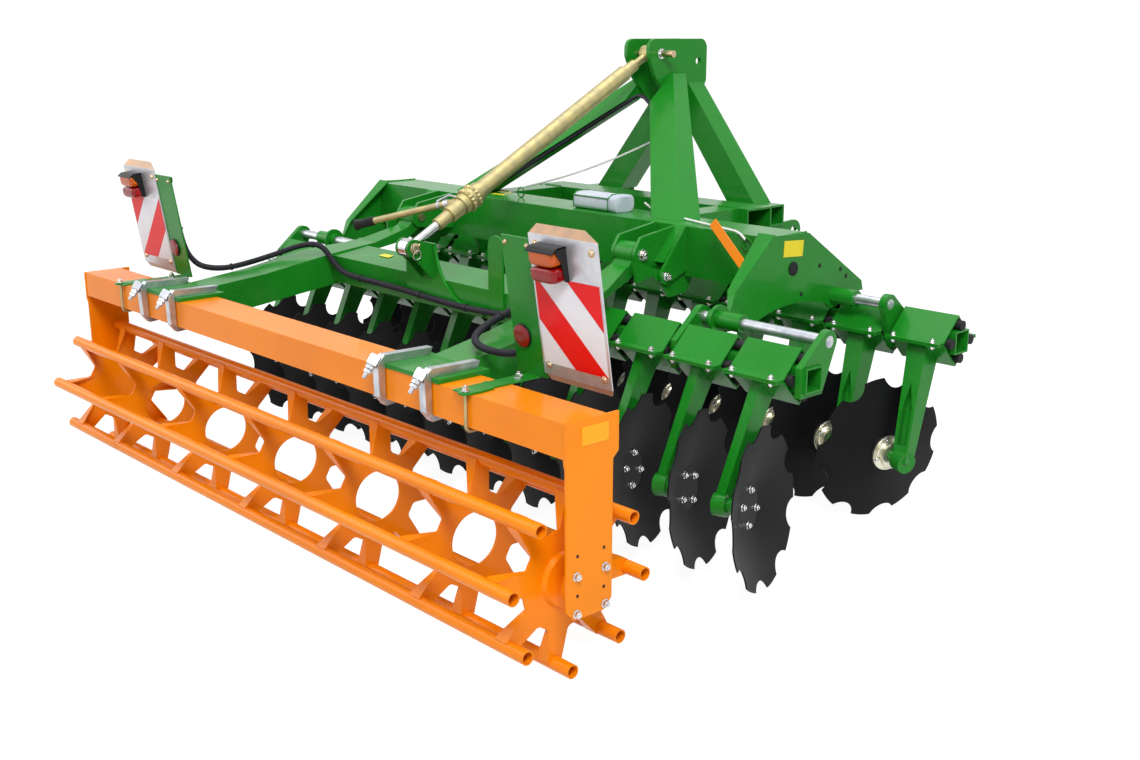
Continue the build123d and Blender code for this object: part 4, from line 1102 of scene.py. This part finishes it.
    def welds(self) -> None:
        """Run beads where the beams meet the webs, the side plates and the pivot ears."""
        beads = Forge()
        z = self.beam_top + 0.001
        runs = []
        for end in (-1.0, 1.0):
            for y in (1.3915, 1.6985):
                runs += [((end * 0.470, y, z), (end * 0.570, y, z))]
            runs += [((end * 1.1475, 1.200, z), (end * 1.1475, 1.386, z))]
            for x in (0.600, 0.614, 0.706, 0.720):
                runs += [((end * x, 1.1885, 0.660), (end * x, 1.1885, 0.795))]
        for start, stop in runs:
            first, last = Vector(start), Vector(stop)
            steps = max(6, int((last - first).length / 0.008))
            points = []
            for k in range(steps + 1):
                point = first.lerp(last, k / steps)
                point.z += 0.0007 * math.sin(k * 2.3)
                points.append(point)
            beads.tube(points, 0.0042, 6)
        beads.done("frame_welds", "main_frame", Finish.GREEN, 60.0)


@dataclass
class Conduit:
    """The ribbed conduit from lamp to lamp, held along the arms and the cross member."""

    route: tuple[tuple[float, float, float], ...] = (
        (-1.122, 0.1393, 0.8838),
        (-1.122, 0.160, 0.7454),
        (-1.112, 0.1807, 0.6069),
        (-1.075, 0.205, 0.548),
        (-0.985, 0.214, 0.538),
        (-0.888, 0.250, 0.545),
        (-0.866, 0.350, 0.562),
        (-0.853, 0.455, 0.584),
        (-0.790, 0.546, 0.622),
        (-0.695, 0.578, 0.631),
        (-0.630, 0.588, 0.568),
        (-0.560, 0.587, 0.530),
        (-0.430, 0.5855, 0.523),
        (-0.280, 0.5855, 0.522),
        (-0.120, 0.5855, 0.519),
        (0.040, 0.5855, 0.512),
        (0.200, 0.5855, 0.507),
        (0.360, 0.5855, 0.510),
        (0.500, 0.586, 0.518),
        (0.590, 0.590, 0.550),
        (0.650, 0.586, 0.610),
        (0.710, 0.545, 0.645),
        (0.742, 0.460, 0.622),
        (0.733, 0.350, 0.588),
        (0.752, 0.250, 0.563),
        (0.815, 0.170, 0.552),
        (0.905, 0.137, 0.543),
        (0.985, 0.178, 0.533),
        (1.050, 0.205, 0.560),
        (1.075, 0.192, 0.640),
        (1.078, 0.160, 0.7454),
        (1.078, 0.1393, 0.8838),
    )
    tie_places: tuple[tuple[float, float, float], ...] = (
        (-0.880, 0.265, 0.545),
        (-0.845, 0.470, 0.590),
        (-0.430, 0.5855, 0.523),
        (-0.030, 0.5855, 0.514),
        (0.250, 0.5855, 0.508),
        (0.735, 0.350, 0.590),
        (-1.120, 0.168, 0.690),
        (1.077, 0.175, 0.690),
    )
    diameter: float = 0.024
    rib_pitch: float = 0.0064
    rib_depth: float = 0.0016
    sides: int = 12

    def line(self) -> list[Vector]:
        """Return closely spaced places along the smooth curve that the route controls, in machine axes."""
        data = bpy.data.curves.new("conduit_line", "CURVE")
        data.dimensions = "3D"
        data.resolution_u = 48
        spline = data.splines.new("NURBS")
        spline.points.add(len(self.route) - 1)
        for point, place in zip(spline.points, self.route):
            point.co = (*place, 1.0)
        spline.order_u = 3
        spline.use_endpoint_u = True
        curve = bpy.data.objects.new("conduit_line", data)
        mesh = bpy.data.meshes.new_from_object(curve)
        places = [vertex.co.copy() for vertex in mesh.vertices]
        bpy.data.objects.remove(curve)
        bpy.data.meshes.remove(mesh)
        return places

    def paced(self, places: list[Vector], pace: float) -> list[Vector]:
        """Return places at an even pace along a chain of places."""
        found = [places[0]]
        carried = 0.0
        for start, stop in zip(places, places[1:]):
            run = (stop - start).length
            way = pace - carried
            while way <= run:
                found.append(start.lerp(stop, way / run))
                way += pace
            carried = run - (way - pace)
        return found

    def build(self) -> None:
        """Make the ribbed tube and its ties."""
        places = self.line()
        steps = self.paced(places, self.rib_pitch / 4)
        crest = self.diameter / 2
        radii = [crest if index % 4 < 2 else crest - self.rib_depth for index in range(len(steps))]
        shape = Forge()
        shape.tube(steps, radii, self.sides)
        tube = shape.done("ribbed_conduit", "roller_frame", Finish.CONDUIT)
        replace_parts(tube, "lamp_conduit")
        ties = self.ties(places)

    def ties(self, places: list[Vector]) -> bpy.types.Object:
        """Strap the conduit down at its tie points.

        Args:
            places: the conduit's centreline.

        Returns:
            The ties' object.
        """
        straps = Forge()
        reach = self.diameter / 2
        inner, outer = reach + 0.0002, reach + 0.0024
        profile = ((-0.004, inner), (-0.004, outer), (0.004, outer), (0.004, inner))
        for spot in self.tie_places:
            index = min(range(1, len(places) - 1), key=lambda k: (places[k] - Vector(spot)).length)
            along = (places[index + 1] - places[index - 1]).normalized()
            straps.band(places[index], along, profile, 18)
        return straps.done("conduit_ties", "roller_frame", Finish.BLACK_PLASTIC)


@dataclass
class Studio:
    """Camera, floor and soft lights."""

    place: tuple[float, float, float] = (3.92608, -2.27666, 1.47231)
    azimuth: float = math.radians(47.463)
    pitch: float = math.radians(14.892)
    focal_pixels: float = 1308.95
    image_width: float = 1140.0
    sensor: float = 36.0
    floor_share: float = 0.7
    floor_glow: float = 1.32
    floor_half: float = 30.0
    lamp_aim: tuple[float, float, float] = (0.0, 0.0, 0.6)
    world_light: float = 0.38

    def camera(self) -> None:
        """Set the camera where the photograph was taken."""
        data = bpy.data.cameras.new("camera")
        data.sensor_width = self.sensor
        data.lens = self.focal_pixels * self.sensor / self.image_width
        data.clip_end = 60.0
        camera = placed("camera", data)
        level = math.cos(self.pitch)
        back = Vector((level * math.sin(self.azimuth), -level * math.cos(self.azimuth), math.sin(self.pitch)))
        right = Vector((math.cos(self.azimuth), math.sin(self.azimuth), 0.0))
        turn = Matrix((right, back.cross(right), back)).transposed().to_4x4()
        camera.matrix_world = STANCE.matrix() @ Matrix.Translation(self.place) @ turn
        bpy.context.scene.camera = camera

    def floor(self) -> None:
        """Lay a pale floor that shows white to the camera away from the shadows."""
        data = bpy.data.meshes.new("floor")
        side = self.floor_half
        corners = [(-side, -side, 0.0), (side, -side, 0.0), (side, side, 0.0), (-side, side, 0.0)]
        data.from_pydata(corners, [], [(0, 1, 2, 3)])
        floor = placed("floor", data)
        data.materials.append(self.floor_material())

    def floor_material(self) -> bpy.types.Material:
        """Return white paper that keeps a soft shadow and otherwise shows white to the camera."""
        shader = Shader("floor")
        shader.put("Base Color", (0.8, 0.8, 0.8, 1.0))
        shader.put("Roughness", 0.9)
        tree = shader.tree
        path = tree.nodes.new("ShaderNodeLightPath")
        glow = tree.nodes.new("ShaderNodeEmission")
        mix = tree.nodes.new("ShaderNodeMixShader")
        seen = Wire(shader, path.outputs["Is Camera Ray"]) + Wire(shader, path.outputs["Is Glossy Ray"])
        share = (seen > 0.5) * self.floor_share
        glow.inputs["Strength"].default_value = self.floor_glow
        tree.links.new(share.socket, mix.inputs[0])
        tree.links.new(shader.surface.outputs[0], mix.inputs[1])
        tree.links.new(glow.outputs[0], mix.inputs[2])
        output = next(node for node in tree.nodes if node.type == "OUTPUT_MATERIAL")
        tree.links.new(mix.outputs[0], output.inputs["Surface"])
        return shader.material

    def lights(self) -> None:
        """Hang three large soft lamps and set a pale world."""
        lamps = (
            ("key", (4.5, -3.0, 5.5), 330.0, 2.2),
            ("fill", (-4.5, -3.0, 3.5), 110.0, 4.0),
            ("top", (0.0, 1.0, 6.5), 200.0, 5.0),
        )
        for name, place, power, size in lamps:
            data = bpy.data.lights.new(name, "AREA")
            data.energy = power
            data.size = size
            lamp = placed(name, data)
            lamp.location = place
            aim = Vector(self.lamp_aim) - lamp.location
            lamp.rotation_euler = aim.to_track_quat("-Z", "Y").to_euler()
        world = bpy.data.worlds.new("studio")
        bpy.context.scene.world = world
        world.use_nodes = True
        tree = world.node_tree
        tree.nodes.clear()
        output = tree.nodes.new("ShaderNodeOutputWorld")
        path = tree.nodes.new("ShaderNodeLightPath")
        light = tree.nodes.new("ShaderNodeBackground")
        seen = tree.nodes.new("ShaderNodeBackground")
        mix = tree.nodes.new("ShaderNodeMixShader")
        light.inputs["Color"].default_value = (0.95, 0.97, 1.0, 1.0)
        light.inputs["Strength"].default_value = self.world_light
        seen.inputs["Color"].default_value = (1.0, 1.0, 1.0, 1.0)
        share = path.outputs["Is Camera Ray"]
        for ray in ("Is Transmission Ray", "Is Glossy Ray"):
            either = tree.nodes.new("ShaderNodeMath")
            either.operation = "MAXIMUM"
            tree.links.new(share, either.inputs[0])
            tree.links.new(path.outputs[ray], either.inputs[1])
            share = either.outputs[0]
        tree.links.new(share, mix.inputs[0])
        tree.links.new(light.outputs[0], mix.inputs[1])
        tree.links.new(seen.outputs[0], mix.inputs[2])
        tree.links.new(mix.outputs[0], output.inputs["Surface"])

    def build(self) -> None:
        """Set up the whole studio."""
        self.camera()
        self.floor()
        self.lights()
        bpy.context.scene.view_settings.view_transform = "Standard"


def main() -> None:
    """Load the frame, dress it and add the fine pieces."""
    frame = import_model()
    Studio().build()
    dress_frame(frame["nodes"])
    Conduit().build()
    DiscRow("rear", 0.850, 1.452, -0.017, -1, (1.577, 1.065, -0.935, -1.435), 0.930).build()
    DiscRow("front", 1.625, 1.515, 0.055, 1, (1.378, 0.878, -0.872, -1.372), 1.545).build()
    boards = (
        MarkerBoard("right", 1.148, 1.020, 1.194, False, gland=(1.078, 0.1393, 0.8838)),
        MarkerBoard("left", -1.475, -1.197, -1.428, True, gland=(-1.122, 0.1393, 0.8838)),
    )
    bodies = Forge()
    for board in boards:
        board.build()
        board.lamp_body(bodies)
    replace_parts(bodies.done("lamp_bodies", "roller_frame", Finish.BLACK_PLASTIC), "lamps")
    RollerFittings().build()
    Turnbuckle().build()
    FrameTrim().build()


if __name__ == "__main__":
    logging.basicConfig(level=logging.INFO, format="%(message)s")
    main()
